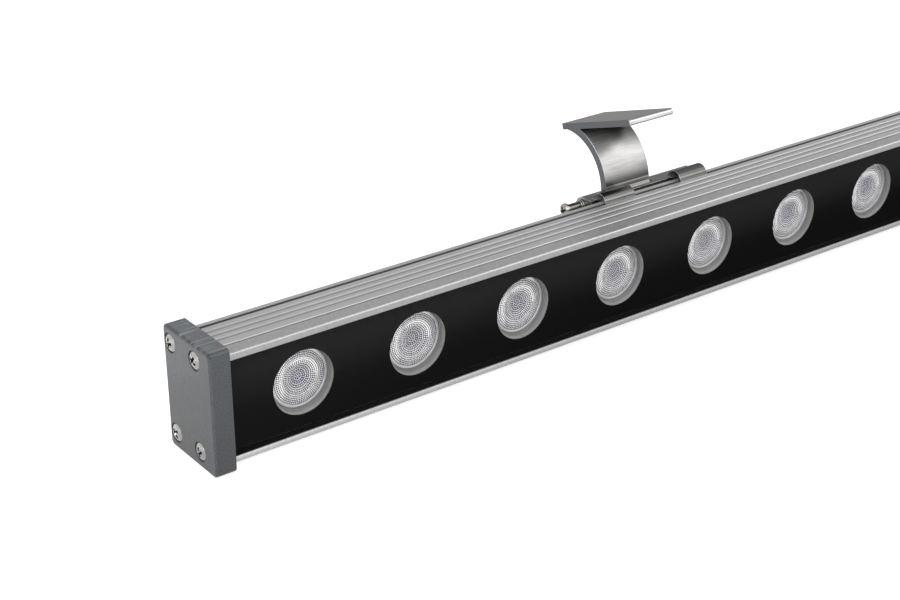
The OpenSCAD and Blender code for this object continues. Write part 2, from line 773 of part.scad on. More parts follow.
module bracket_clip(side) {
    knuckle_start = arm_w / 2 + barrel_gap;
    color([0.6, 0.6, 0.6]) at_bracket(side) difference() {
        union() {
            along_bar(-clip_left, clip_left + clip_right) clip_web_section();
            along_bar(-clip_left, clip_left - knuckle_start) knuckle_section();
            along_bar(knuckle_start, clip_right - knuckle_start) knuckle_section();
            along_bar(-hook_left_start, hook_left_w) hook_section();
            along_bar(clip_right - hook_right_w, hook_right_w) hook_section();
            for (x = [grub_left_x, grub_right_x])
                translate([x - grub_boss_w / 2, web_front_y, clip_bottom_z])
                    cube([grub_boss_w, clip_web + grub_boss_y, pivot_z - clip_bottom_z]);
        }
        pointing_right(-clip_left - cut, pivot_y, pivot_z)
            cylinder(r = pivot_bore_r, h = head_x + clip_left + pivot_len + 2 * cut);
        for (x = [grub_left_x, grub_right_x])
            facing_front(x, web_back_y + grub_boss_y + cut, grub_z)
                cylinder(r = grub_d / 2 + run, h = clip_web + grub_boss_y + 2 * cut);
    }
}

module pivot_screw(side) {
    color([0.75, 0.74, 0.7]) at_bracket(side) translate([head_x, pivot_y, pivot_z])
        rotate([0, -90, 0]) pan_screw(pivot_head_d, pivot_head_h, pivot_d, pivot_len);
}

module pivot_sleeve(side) {
    color([0.55, 0.55, 0.5]) at_bracket(side) pointing_right(head_x, pivot_y, pivot_z)
        tube(sleeve_d / 2, pivot_bore_r, sleeve_len);
}

module pivot_washers(side) {
    color([0.8, 0.8, 0.78]) at_bracket(side) for (i = [0, 1])
        pointing_right(-clip_left - (i + 1) * (washer_t + run), pivot_y, pivot_z)
            tube(washer_d / 2 - i * washer_step, pivot_bore_r, washer_t);
}

module grub_screws(side) {
    color([0.4, 0.4, 0.42]) at_bracket(side) for (x = [grub_left_x, grub_right_x])
        facing_front(x, housing_depth + grub_tip_gap + grub_len, grub_z) difference() {
            cylinder(d = grub_d, h = grub_len);
            translate([0, 0, -cut]) cylinder(d = grub_d * hex_share, h = grub_len / 3 + cut, $fn = 6);
        }
}

in_frame() housing();
in_frame() front_glass();
in_frame() front_mask();
in_frame() glass_seal();
in_frame() end_cap_left();
in_frame() end_cap_right();
in_frame() end_gasket_left();
in_frame() end_gasket_right();
in_frame() cap_screws_left();
in_frame() cap_screws_right();
in_frame() gland_body();
in_frame() gland_nut();
in_frame() gland_seal();
in_frame() board_screws();
in_frame() board_links();
in_frame() regulator_chips();
in_frame() terminal_block();
in_frame() terminal_screws();
for (b = [1:board_count]) {
    in_frame() led_board(b);
    in_frame() led_group(b);
    in_frame() lens_carrier(b);
}
for (i = [1:lens_count])
    in_frame() lens(i);
for (side = ["left", "right"]) {
    in_frame() bracket_arm(side);
    in_frame() bracket_clip(side);
    in_frame() pivot_screw(side);
    in_frame() pivot_sleeve(side);
    in_frame() pivot_washers(side);
    in_frame() grub_screws(side);
}
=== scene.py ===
"""Dresses the outdoor wall washer light: finishes, modelled pieces, studio and camera."""

import json
import logging
import math
from dataclasses import dataclass, field
from enum import Enum
from typing import Callable, Optional, Sequence, Union

import bpy
from bpy.types import ID, Material, NodeSocket, Object, World
from mathutils import Matrix, Vector

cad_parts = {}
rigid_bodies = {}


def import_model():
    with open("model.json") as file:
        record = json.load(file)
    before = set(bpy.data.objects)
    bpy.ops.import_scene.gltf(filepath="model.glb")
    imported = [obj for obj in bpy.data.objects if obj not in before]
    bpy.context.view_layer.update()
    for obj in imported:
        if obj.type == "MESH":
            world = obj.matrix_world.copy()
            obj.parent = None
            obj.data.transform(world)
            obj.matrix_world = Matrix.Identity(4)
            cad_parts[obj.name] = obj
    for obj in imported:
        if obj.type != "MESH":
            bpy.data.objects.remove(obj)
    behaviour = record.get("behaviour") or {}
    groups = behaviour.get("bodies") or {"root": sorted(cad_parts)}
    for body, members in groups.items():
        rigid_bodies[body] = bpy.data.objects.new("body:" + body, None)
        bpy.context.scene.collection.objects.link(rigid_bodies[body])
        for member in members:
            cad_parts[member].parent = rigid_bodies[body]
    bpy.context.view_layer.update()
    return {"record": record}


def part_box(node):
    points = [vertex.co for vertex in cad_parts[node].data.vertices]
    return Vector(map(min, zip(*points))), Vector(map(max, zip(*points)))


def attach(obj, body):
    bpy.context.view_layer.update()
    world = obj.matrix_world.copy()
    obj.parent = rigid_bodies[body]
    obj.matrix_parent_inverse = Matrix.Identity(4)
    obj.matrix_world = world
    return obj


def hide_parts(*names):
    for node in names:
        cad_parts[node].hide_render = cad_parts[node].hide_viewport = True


LOG = logging.getLogger("wall_washer")
MM = 0.001
FULL_TURN = 2 * math.pi
SIDES = ("left", "right")
WELD = 0.002 * MM
FLAT = math.radians(0.5)
FACING = 0.9
ASIDE = 0.5
WHITE = (1.0, 1.0, 1.0)

Triple = tuple[float, float, float]
Colour = Triple
Span = tuple[float, float]
Point = tuple[float, float]
Number = Union[float, "Wire"]


class Wire:
    """An output socket, with the arithmetic that adds Math nodes behind it."""

    def __init__(self, shader: "Shader", socket: NodeSocket) -> None:
        """Keeps the socket and the shader that it belongs to."""
        self.shader = shader
        self.socket = socket

    def _math(self, operation: str, first: Number, second: Number = 0.0) -> "Wire":
        """Adds one Math node with that operation on its two operands, and returns its output."""
        return self.shader.node("ShaderNodeMath", {0: first, 1: second}, operation=operation)

    def __add__(self, other: Number) -> "Wire":
        """The sum."""
        return self._math("ADD", self, other)

    __radd__ = __add__

    def __sub__(self, other: Number) -> "Wire":
        """The difference."""
        return self._math("SUBTRACT", self, other)

    def __rsub__(self, other: Number) -> "Wire":
        """The difference from a number."""
        return self._math("SUBTRACT", other, self)

    def __mul__(self, other: Number) -> "Wire":
        """The product."""
        return self._math("MULTIPLY", self, other)

    __rmul__ = __mul__

    def __abs__(self) -> "Wire":
        """The size without its sign."""
        return self._math("ABSOLUTE", self)

    def between(self, low: float, high: float) -> "Wire":
        """The share, 0 to 1, that the value has come from low to high, eased at both ends."""
        return self.shader.node("ShaderNodeMapRange", {0: self, 1: low, 2: high},
                                interpolation_type="SMOOTHSTEP")

    def band(self, rise: Span, fall: Span) -> "Wire":
        """1 from the end of the rise to the start of the fall, and 0 outside them."""
        return self.between(*rise) * (1.0 - self.between(*fall))

    def held(self) -> "Wire":
        """The value, kept from 0 to 1."""
        return self.shader.node("ShaderNodeClamp", {0: self})


@dataclass(frozen=True)
class Pattern:
    """A noise pattern in Object coordinates, with its scale counted per metre."""

    scale: float
    detail: float = 2.0
    roughness: float = 0.5
    stretch: Triple = (1.0, 1.0, 1.0)


class Shader:
    """The node tree of a material or a world while it is laid out."""

    def __init__(self, owner: Union[Material, World]) -> None:
        """Empties the owner's node tree.

        Args:
            owner: The material or world.
        """
        self.owner = owner
        owner.use_nodes = True
        self.tree = owner.node_tree
        self.tree.nodes.clear()

    @classmethod
    def named(cls, name: str) -> "Shader":
        """The shader of a new material with that name."""
        return cls(bpy.data.materials.new(name))

    def feed(self, socket: NodeSocket, value: object) -> None:
        """Links a wire to a socket, or sets the socket's own value.

        Args:
            socket: The input socket.
            value: A wire, a number, a vector or a colour.
        """
        if isinstance(value, Wire):
            self.tree.links.new(value.socket, socket)
        elif socket.type == "RGBA" and len(value) == 3:
            socket.default_value = (*value, 1.0)
        else:
            socket.default_value = value

    def node(self, kind: str, inputs: Optional[dict] = None, output: Union[int, str] = 0,
             **settings: object) -> Wire:
        """Adds one node.

        Args:
            kind: The node's type.
            inputs: Values or wires by socket name or number.
            output: The output to return.
            **settings: The node's own settings.

        Returns:
            The chosen output.
        """
        made = self.tree.nodes.new(kind)
        for name, value in settings.items():
            setattr(made, name, value)
        for key, value in (inputs or {}).items():
            self.feed(made.inputs[key], value)
        return Wire(self, made.outputs[output])

    def vector(self, operation: str, first: Wire, second: Sequence[float] = (0, 0, 0),
               output: Union[int, str] = 0) -> Wire:
        """Adds one Vector Math node on a wire and a vector, and returns its output."""
        return self.node("ShaderNodeVectorMath", {0: first, 1: tuple(second)}, output,
                         operation=operation)

    def place(self, scale: Sequence[float] = (1, 1, 1), centre: Sequence[float] = (0, 0, 0)) -> Wire:
        """Object coordinates in metres, moved so that centre is the origin and then scaled."""
        here = self.node("ShaderNodeTexCoord", output="Object")
        return self.vector("MULTIPLY", self.vector("SUBTRACT", here, centre), scale)

    def axis(self, name: str) -> Wire:
        """One component, X, Y or Z, of the Object coordinates."""
        return self.node("ShaderNodeSeparateXYZ", {0: self.place()}, output=name)

    def dot(self, vector: Wire, direction: Triple) -> Wire:
        """How far a vector reaches along a direction."""
        return self.vector("DOT_PRODUCT", vector, direction, "Value")

    def along(self, direction: Triple) -> Wire:
        """How far the Object coordinates reach along a direction."""
        return self.dot(self.place(), direction)

    def length(self, vector: Wire) -> Wire:
        """A vector's length."""
        return self.vector("LENGTH", vector, output="Value")

    def scaled(self, colour: object, tone: Number) -> Wire:
        """A colour, made tone times as bright."""
        return self.node("ShaderNodeVectorMath", {0: colour, "Scale": tone}, operation="SCALE")

    def noise(self, pattern: Pattern, centre: Sequence[float] = (0, 0, 0)) -> Wire:
        """A noise pattern from 0 to 1, counted from a centre.

        Args:
            pattern: The pattern.
            centre: The point that it is counted from.

        Returns:
            The pattern's value.
        """
        return self.node("ShaderNodeTexNoise", {"Vector": self.place(pattern.stretch, centre),
                                                "Scale": pattern.scale, "Detail": pattern.detail,
                                                "Roughness": pattern.roughness})

    def ripple(self, pattern: Pattern, centre: Sequence[float] = (0, 0, 0)) -> Wire:
        """A noise pattern that swings about 0, from -0.5 to 0.5."""
        return self.noise(pattern, centre) - 0.5

    def blend(self, share: Number, low: object, high: object) -> Wire:
        """A colour between low and high."""
        return self.node("ShaderNodeMix", {0: share, 6: low, 7: high}, output=2, data_type="RGBA")

    def bump(self, height: Wire, depth: float) -> Wire:
        """A normal from a height, with depth in metres."""
        return self.node("ShaderNodeBump", {"Height": height, "Distance": depth, "Strength": 1.0})

    def principled(self, **inputs: object) -> Wire:
        """A Principled shader, with underscores in place of the spaces in its sockets' names."""
        return self.node("ShaderNodeBsdfPrincipled",
                         {key.replace("_", " "): value for key, value in inputs.items()})

    def seen(self) -> Wire:
        """1 for a ray that shows the background to the eye, straight or by metal and glass.

        Returns:
            The share, 0 or 1.
        """
        rays = [self.node("ShaderNodeLightPath", output=f"Is {kind} Ray")
                for kind in ("Camera", "Glossy", "Transmission")]
        return (rays[0] + rays[1] + rays[2]).held()

    def finish(self, surface: Wire, kind: str = "Material") -> ID:
        """Ends the tree with its surface and returns the material or world that has it.

        Args:
            surface: The surface's shader.
            kind: Material or World.

        Returns:
            The owner.
        """
        out = self.tree.nodes.new(f"ShaderNodeOutput{kind}")
        self.feed(out.inputs["Surface"], surface)
        return self.owner


class Grain(Enum):
    """The way that a metal's fine lines run, as the pattern's scale along X, Y and Z."""

    ALONG_BAR = (0.05, 1.0, 1.0)
    ACROSS_BAR = (1.0, 0.04, 0.04)
    NONE = (1.0, 1.0, 1.0)


@dataclass(frozen=True)
class Finish:
    """A named surface, laid out once as a material."""

    name: str

    def material(self) -> Material:
        """The surface's material, laid out at its first use."""
        return bpy.data.materials.get(self.name) or self.build()

    def build(self) -> Material:
        """Lays out the material and returns it."""
        s = Shader.named(self.name)
        return s.finish(self.surface(s))

    def surface(self, s: Shader) -> Wire:
        """The surface's shader, laid out in s."""
        raise NotImplementedError


@dataclass(frozen=True)
class Metal(Finish):
    """A bare, anodised or plated metal with fine grain lines."""

    colour: Colour
    roughness: float
    grain: Grain = Grain.NONE
    lines_per_metre: float = 1500.0
    line_depth: float = 0.004 * MM
    unevenness: float = 0.12
    metallic: float = 1.0
    line_detail: float = 3.0
    line_roughness: float = 0.6
    clouds: Pattern = Pattern(60.0, 3.0)
    cloud_rough: float = 0.5
    line_rough: float = 0.4

    def shade(self, s: Shader) -> Number:
        """The painted light and shade at each place, as a factor on the colour: none on plain metal.
        """
        return 1.0

    def surface(self, s: Shader) -> Wire:
        """The metal's shader, laid out in s.

        Args:
            s: The shader of the material.

        Returns:
            The metal's shader.
        """
        lines = s.ripple(Pattern(self.lines_per_metre, self.line_detail, self.line_roughness,
                                 self.grain.value))
        clouds = s.ripple(self.clouds)
        tone = 1.0 + lines * self.unevenness * 2.0 + clouds * self.unevenness
        rough = self.roughness * (1.0 + clouds * self.cloud_rough + lines * self.line_rough)
        return s.principled(Base_Color=s.scaled(self.colour, tone * self.shade(s)),
                            Metallic=self.metallic, Roughness=rough,
                            Normal=s.bump(lines, self.line_depth))


@dataclass(frozen=True)
class BrushedArm(Metal):
    """The arm's brushed metal, with painted shade under the foot plate and towards the hinge, and
    painted highlights at its seam, in its hollow and on the plate's nose.

    Lengths called below are measured down from the foot plate's top, and those of the barrel and
    the seam out from the tilt axis. near runs from 0 to 1 over the arm's width.
    """

    plate_up: Triple = (0.0, 0.309, 0.951)
    plate_top: float = 85.19 * MM
    plate_out: Triple = (0.0, -0.951, 0.309)
    nose: Span = (19.03 * MM, 19.33 * MM)
    nose_lift: float = 0.35
    middle_x: float = 497.0 * MM
    far_end: float = 250.0 * MM
    width: float = 26.0 * MM
    # The spans and factors below paint shade and highlights on the arm.
    top_below: Span = (0.3 * MM, 0.8 * MM)
    top_shade: float = 0.36
    under_below: Span = (2.6 * MM, 3.1 * MM)
    lit_below: Span = (4.0 * MM, 22.0 * MM)
    near_shift: float = 8.0 * MM
    under_shade: float = 0.85
    hollow_below: tuple[Span, Span] = ((3.0 * MM, 8.0 * MM), (11.0 * MM, 18.0 * MM))
    near_share: Span = (0.28, 0.62)
    near_lift: float = 1.15
    far_shade: float = 0.28
    waist_below: tuple[Span, Span] = ((19.0 * MM, 23.0 * MM), (25.0 * MM, 28.0 * MM))
    waist_lift: float = 0.2
    foot_below: Span = (23.0 * MM, 30.0 * MM)
    foot_shade: float = 0.74
    axis_yz: Point = (22.05 * MM, 45.5 * MM)
    barrel_r: Span = (5.2 * MM, 5.3 * MM)
    barrel_lift: float = 1.6
    seam_r: Span = (5.8 * MM, 6.0 * MM)
    seam_lift: float = 3.4

    def shade(self, s: Shader) -> Wire:
        """The painted shade and highlights at each place, as a factor on the metal's colour.

        Args:
            s: The shader of the material.

        Returns:
            The factor: below 1 in painted shade, above 1 in painted highlights.
        """
        below = self.plate_top - s.along(self.plate_up)
        near = (abs(s.axis("X") - self.middle_x) - self.far_end) * (1.0 / self.width)
        top = 1.0 - below.between(*self.top_below)
        lit = (below + near * self.near_shift).between(*self.lit_below)
        under = below.between(*self.under_below) * (1.0 - lit)
        hollow = below.band(*self.hollow_below) * \
            (near.between(*self.near_share) * self.near_lift - self.far_shade)
        waist = below.band(*self.waist_below)
        foot = below.between(*self.foot_below)
        nose = s.along(self.plate_out).between(*self.nose)
        reach = s.length(s.place((0.0, 1.0, 1.0), (0.0, *self.axis_yz)))
        barrel = 1.0 - reach.between(*self.barrel_r)
        seam = reach.band(self.barrel_r, self.seam_r)
        # Painted shade on the plate's top, under the plate, on the hollow's far side and at the foot;
        # painted highlights on the hollow's near side, the waist, the barrel, the seam and the
        # plate's nose.
        return (1.0 - top * self.top_shade) * (1.0 - under * self.under_shade) * (1.0 + hollow) * \
            (1.0 + waist * self.waist_lift) * (1.0 - foot * self.foot_shade) * \
            (1.0 + barrel * self.barrel_lift) * (1.0 + seam * self.seam_lift) * \
            (1.0 + nose * self.nose_lift)


@dataclass(frozen=True)
class DrawnClip(Metal):
    """The clip's drawn metal, with painted shade on top of its round claws and bright fronts."""

    claw_z: Span = (50.5 * MM, 51.5 * MM)
    front_tone: float = 1.12
    top_shade: float = 0.72

    def shade(self, s: Shader) -> Wire:
        """The painted shade on the claws' tops, as a factor on the metal's colour."""
        return self.front_tone - s.axis("Z").between(*self.claw_z) * self.top_shade


@dataclass(frozen=True)
class ExtrudedSilver(Finish):
    """The housing's anodised silver, with die lines along the bar and a cross grain in front,
    painted shade in its grooves, on its front face and on the band behind it, and a painted
    highlight on the lower rim.
    """

    name: str = "anodised_silver"
    colour: Colour = (0.6, 0.595, 0.6)
    roughness: float = 0.42
    metallic: float = 0.78
    die_lines: Pattern = Pattern(2600.0, 3.0, 0.65, (0.004, 1.0, 1.0))
    cross: Pattern = Pattern(1500.0, 2.0, 0.6, (1.0, 0.3, 0.3))
    clouds: Pattern = Pattern(45.0, 3.0, stretch=(0.25, 1.0, 1.0))
    die_tone: float = 0.22
    cross_tone: float = 0.4
    cloud_tone: float = 0.1
    cloud_rough: float = 0.12
    grain_rough: float = 0.15
    grain_depth: float = 0.006 * MM
    front_y: float = -15.55 * MM
    front_band: Span = (6.0 * MM, 7.8 * MM)
    middle_z: float = 26.15 * MM
    half_height: float = 23.15 * MM
    # The grooves, the front face and its band take painted shade, and the lower rim and its lip a
    # painted highlight.
    groove_depth: Span = (0.12 * MM, 0.5 * MM)
    groove_across: tuple[Span, Span] = ((6.0 * MM, 6.1 * MM), (30.0 * MM, 30.6 * MM))
    groove_shade: float = 0.5
    rim_across: Span = (0.02 * MM, 0.2 * MM)
    rim_shade: float = 0.32
    lower_z: Span = (8.0 * MM, 10.0 * MM)
    lower_lift: float = 0.1
    lip_z: Span = (4.4 * MM, 5.5 * MM)
    lip_lift: float = 0.46
    band_across: Span = (0.7 * MM, 0.9 * MM)
    band_shade: float = 0.16

    def surface(self, s: Shader) -> Wire:
        """The silver's shader, laid out in s.

        Args:
            s: The shader of the material.

        Returns:
            The silver's shader.
        """
        die_lines, cross = s.ripple(self.die_lines), s.ripple(self.cross)
        clouds = s.ripple(self.clouds)
        across, z = s.axis("Y") - self.front_y, s.axis("Z")
        near_front = 1.0 - across.between(*self.front_band)
        grain = cross * near_front + die_lines * (1.0 - near_front)
        # Painted shade in the grooves, on the front face above the lower rim and on its band; painted
        # highlight on the lower rim's front, most at its lip.
        depth = self.half_height - abs(z - self.middle_z)
        grooved = depth.between(*self.groove_depth) * across.band(*self.groove_across)
        rim = 1.0 - across.between(*self.rim_across)
        lower = 1.0 - z.between(*self.lower_z)
        band = across.between(*self.band_across) * near_front
        mottle = grain * (self.die_tone + near_front * self.cross_tone) + clouds * self.cloud_tone
        tone = (1.0 + mottle) * (1.0 - grooved * self.groove_shade) * \
            (1.0 - rim * self.rim_shade * (1.0 - lower)) * (1.0 - band * self.band_shade) * \
            (1.0 + rim * lower * (self.lower_lift + z.between(*self.lip_z) * self.lip_lift))
        rough = self.roughness + clouds * self.cloud_rough + grain * self.grain_rough
        return s.principled(Base_Color=s.scaled(self.colour, tone), Metallic=self.metallic,
                            Roughness=rough, Normal=s.bump(grain, self.grain_depth))


@dataclass(frozen=True)
class PowderCoat(Finish):
    """A grey baked coat on cast metal: fine orange peel and a rubbed top, with painted highlights on
    the top and the rolled edge, and painted shade on the side and along the upper edge.
    """

    name: str = "grey_powder_coat"
    colour: Colour = (0.092, 0.099, 0.106)
    streak: Colour = (0.3, 0.305, 0.31)
    roughness: float = 0.34
    shine: float = 0.5
    peel: Pattern = Pattern(2200.0, 2.0, 0.55)
    specks: Pattern = Pattern(1900.0, 3.0, 0.7)
    clouds: Pattern = Pattern(70.0, 3.0)
    rubs: Pattern = Pattern(520.0, stretch=(0.12, 1.6, 0.3))
    rubbed: Span = (0.55, 0.68)
    rubbed_z: Span = (51.1 * MM, 52.2 * MM)
    cloud_tone: float = 0.22
    speck_tone: float = 1.5
    side_specks: float = 0.9
    cloud_rough: float = 0.14
    peel_rough: float = 0.1
    peel_depth: float = 0.045 * MM
    middle_x: float = 497.0 * MM
    half_length: float = 501.5 * MM
    # roll, upper_z, side_y, top_z and crown place the painted light: highlights on the rolled edge
    # and the top, shade on the side and along the upper edge.
    roll: tuple[Span, Span] = ((0.05 * MM, 0.35 * MM), (0.5 * MM, 0.95 * MM))
    roll_lift: float = 0.35
    upper_z: Span = (49.3 * MM, 51.8 * MM)
    side_y: Span = (-17.3 * MM, -16.5 * MM)
    side_shade: float = 0.1
    top_z: Span = (52.1 * MM, 52.26 * MM)
    top_lift: float = 0.58
    crown: Span = (0.8 * MM, 1.3 * MM)
    crown_z: Span = (50.6 * MM, 51.1 * MM)
    crown_shade: float = 0.42

    def surface(self, s: Shader) -> Wire:
        """The coat's shader, laid out in s.

        Args:
            s: The shader of the material.

        Returns:
            The coat's shader.
        """
        peel, specks, clouds = s.ripple(self.peel), s.ripple(self.specks), s.ripple(self.clouds)
        x, y, z = (s.axis(name) for name in "XYZ")
        rubbed = s.noise(self.rubs).between(*self.rubbed) * z.between(*self.rubbed_z)
        from_end = self.half_length - abs(x - self.middle_x)
        # Painted highlights on the rolled edge and the top; painted shade on the side, which also
        # gets more specks, and along the upper edge.
        rolled = from_end.band(*self.roll) * (1.0 - z.between(*self.upper_z))
        side = 1.0 - y.between(*self.side_y)
        top = z.between(*self.top_z)
        crown = (1.0 - from_end.between(*self.crown)) * z.between(*self.crown_z)
        grain = clouds * self.cloud_tone + specks * (self.speck_tone + side * self.side_specks)
        tone = (1.0 + grain) * (1.0 + top * self.top_lift) * (1.0 - side * self.side_shade) * \
            (1.0 + rolled * self.roll_lift) * (1.0 - crown * self.crown_shade)
        colour = s.blend(rubbed, s.scaled(self.colour, tone), self.streak)
        rough = self.roughness + clouds * self.cloud_rough + peel * self.peel_rough
        return s.principled(Base_Color=colour, Roughness=rough, Specular_IOR_Level=self.shine,
                            Normal=s.bump(specks + peel, self.peel_depth))


@dataclass(frozen=True)
class Moulded(Finish):
    """A moulded plastic, rubber, enamel or board, with slight mottling and a fine skin."""

    colour: Colour
    roughness: float
    skin: Pattern = Pattern(1800.0)
    skin_depth: float = 0.01 * MM
    clouds: Pattern = Pattern(90.0, 3.0)
    mottle: float = 0.12
    cloud_rough: float = 0.5
    shine: float = 0.5

    def surface(self, s: Shader) -> Wire:
        """The moulding's shader, laid out in s.

        Args:
            s: The shader of the material.

        Returns:
            The moulding's shader.
        """
        skin, clouds = s.ripple(self.skin), s.ripple(self.clouds)
        tone = 1.0 + clouds * self.mottle * 2.0 + skin * self.mottle
        return s.principled(Base_Color=s.scaled(self.colour, tone),
                            Roughness=self.roughness * (1.0 + clouds * self.cloud_rough),
                            Specular_IOR_Level=self.shine, Normal=s.bump(skin, self.skin_depth))


@dataclass(frozen=True)
class BlackPrint(Finish):
    """The glossy black print behind the pane, with a painted reflection that makes it paler towards
    its top, and painted light that makes it paler at its foot.
    """

    name: str = "black_print"
    low: Colour = (0.0012, 0.0012, 0.0013)
    # high is the colour of the painted reflection towards the top, and foot that of the painted light
    # at the foot.
    high: Colour = (0.0125, 0.0125, 0.0128)
    foot: Colour = (0.017, 0.017, 0.0173)
    roughness: float = 0.08
    shine: float = 0.14
    clouds: Pattern = Pattern(20.0, stretch=(0.4, 1.0, 1.0))
    cloud_sway: float = 12.0 * MM
    cloud_rough: float = 0.03
    turn_z: Span = (20.0 * MM, 40.0 * MM)
    foot_z: Span = (6.1 * MM, 7.6 * MM)

    def surface(self, s: Shader) -> Wire:
        """The print's shader, laid out in s.

        Args:
            s: The shader of the material.

        Returns:
            The print's shader.
        """
        clouds, z = s.ripple(self.clouds), s.axis("Z")
        # Painted light at the foot, then a painted reflection that pales the print towards its top.
        low = s.blend(1.0 - z.between(*self.foot_z), self.low, self.foot)
        colour = s.blend((z + clouds * self.cloud_sway).between(*self.turn_z), low, self.high)
        return s.principled(Base_Color=colour, Roughness=self.roughness + clouds * self.cloud_rough,
                            Specular_IOR_Level=self.shine)


@dataclass(frozen=True)
class ShadedCup(Finish):
    """The grey cup round a lens: paler at its mouth, with painted shade beside the lens's rim."""

    name: str = "grey_cup"
    mouth: Colour = (0.45, 0.442, 0.432)
    # The colour of the painted shade beside the lens's rim.
    deep: Colour = (0.36, 0.353, 0.345)
    roughness: float = 0.3
    wall_y: Span = (-11.7 * MM, -9.6 * MM)
    skin: Pattern = Pattern(900.0)
    skin_depth: float = 0.01 * MM
    clouds: Pattern = Pattern(60.0, 3.0)
    cloud_tone: float = 0.3
    cloud_rough: float = 0.1

    def surface(self, s: Shader) -> Wire:
        """The cup's shader, laid out in s.

        Args:
            s: The shader of the material.

        Returns:
            The cup's shader.
        """
        skin, clouds = s.ripple(self.skin), s.ripple(self.clouds)
        # Painted shade beside the lens's rim, fading to the paler mouth.
        colour = s.blend(1.0 - s.axis("Y").between(*self.wall_y), self.deep, self.mouth)
        return s.principled(Base_Color=s.scaled(colour, 1.0 + clouds * self.cloud_tone),
                            Roughness=self.roughness + clouds * self.cloud_rough,
                            Normal=s.bump(skin, self.skin_depth))


@dataclass(frozen=True)
class ClearPane(Finish):
    """The clear front glass, which bends what is behind it and lets the lamps through."""

    name: str = "clear_pane"
    tint: Colour = (0.985, 0.985, 0.985)
    ior: float = 1.5
    roughness: float = 0.02
    haze: Pattern = Pattern(35.0, stretch=(0.3, 1.0, 1.0))
    haze_rough: float = 0.02

    def surface(self, s: Shader) -> Wire:
        """The glass's shader, laid out in s.

        Args:
            s: The shader of the material.

        Returns:
            The glass's shader.
        """
        pane = s.node("ShaderNodeBsdfRefraction",
                      {"Color": self.tint, "IOR": self.ior,
                       "Roughness": self.roughness + s.ripple(self.haze) * self.haze_rough})
        through = s.node("ShaderNodeBsdfTransparent", {"Color": self.tint})
        lit = s.node("ShaderNodeLightPath", output="Is Shadow Ray")
        soft = s.node("ShaderNodeLightPath", output="Is Diffuse Ray")
        return s.node("ShaderNodeMixShader", {0: (lit + soft).held(), 1: pane, 2: through})


@dataclass(frozen=True)
class BeadedOptic(Finish):
    """The moulded lens: pale grey, cooler in the middle, with two painted highlight arcs.

    Radii are shares of the lens's own.
    """

    centre: Triple
    radius: float
    # tone scales the whole lens; the slot between the beads takes a low one as painted shade.
    tone: float = 1.0
    rim: Colour = (0.78, 0.775, 0.8)
    middle: Colour = (0.6, 0.6, 0.66)
    # The colour of the painted highlight arcs.
    ring: Colour = (1.0, 0.99, 0.98)
    roughness: float = 0.14
    silver: float = 0.8
    shine: float = 0.8
    core_r: Span = (0.12, 0.55)
    right_r: tuple[Span, Span] = ((0.44, 0.52), (0.6, 0.7))
    right_toward: Triple = (0.55, 0.0, 0.85)
    right_reach: Span = (0.15, 0.5)
    left_r: tuple[Span, Span] = ((0.55, 0.68), (0.82, 0.93))
    left_toward: Triple = (-0.95, 0.0, 0.1)
    left_reach: Span = (0.42, 0.7)
    base_tone: float = 0.98
    arc_lift: float = 0.4
    haze: Pattern = Pattern(300.0, 3.0)
    haze_tone: float = 0.25
    haze_rough: float = 0.1
    rim_r: Span = (0.9, 0.94)
    rim_rough: float = 0.3

    def surface(self, s: Shader) -> Wire:
        """The lens's shader, laid out in s.

        Args:
            s: The shader of the material.

        Returns:
            The lens's shader.
        """
        x, _, z = self.centre
        across = s.place((1 / self.radius, 0.0, 1 / self.radius), (x, 0.0, z))
        out = s.length(across)
        # Two painted highlight arcs, fixed on the lens.
        arcs = [out.band(*radii) * s.dot(across, toward).between(*reach)
                for radii, toward, reach in ((self.right_r, self.right_toward, self.right_reach),
                                             (self.left_r, self.left_toward, self.left_reach))]
        painted_highlight = (arcs[0] + arcs[1]).held()
        haze = s.ripple(self.haze, self.centre)
        colour = s.blend(painted_highlight, s.blend(1.0 - out.between(*self.core_r), self.rim, self.middle),
                         self.ring)
        tone = self.tone * (1.0 + haze * self.haze_tone) * (self.base_tone + painted_highlight * self.arc_lift)
        rough = self.roughness + haze * self.haze_rough + out.between(*self.rim_r) * self.rim_rough
        return s.principled(Base_Color=s.scaled(colour, tone), Roughness=rough, Metallic=self.silver,
                            Specular_IOR_Level=self.shine)


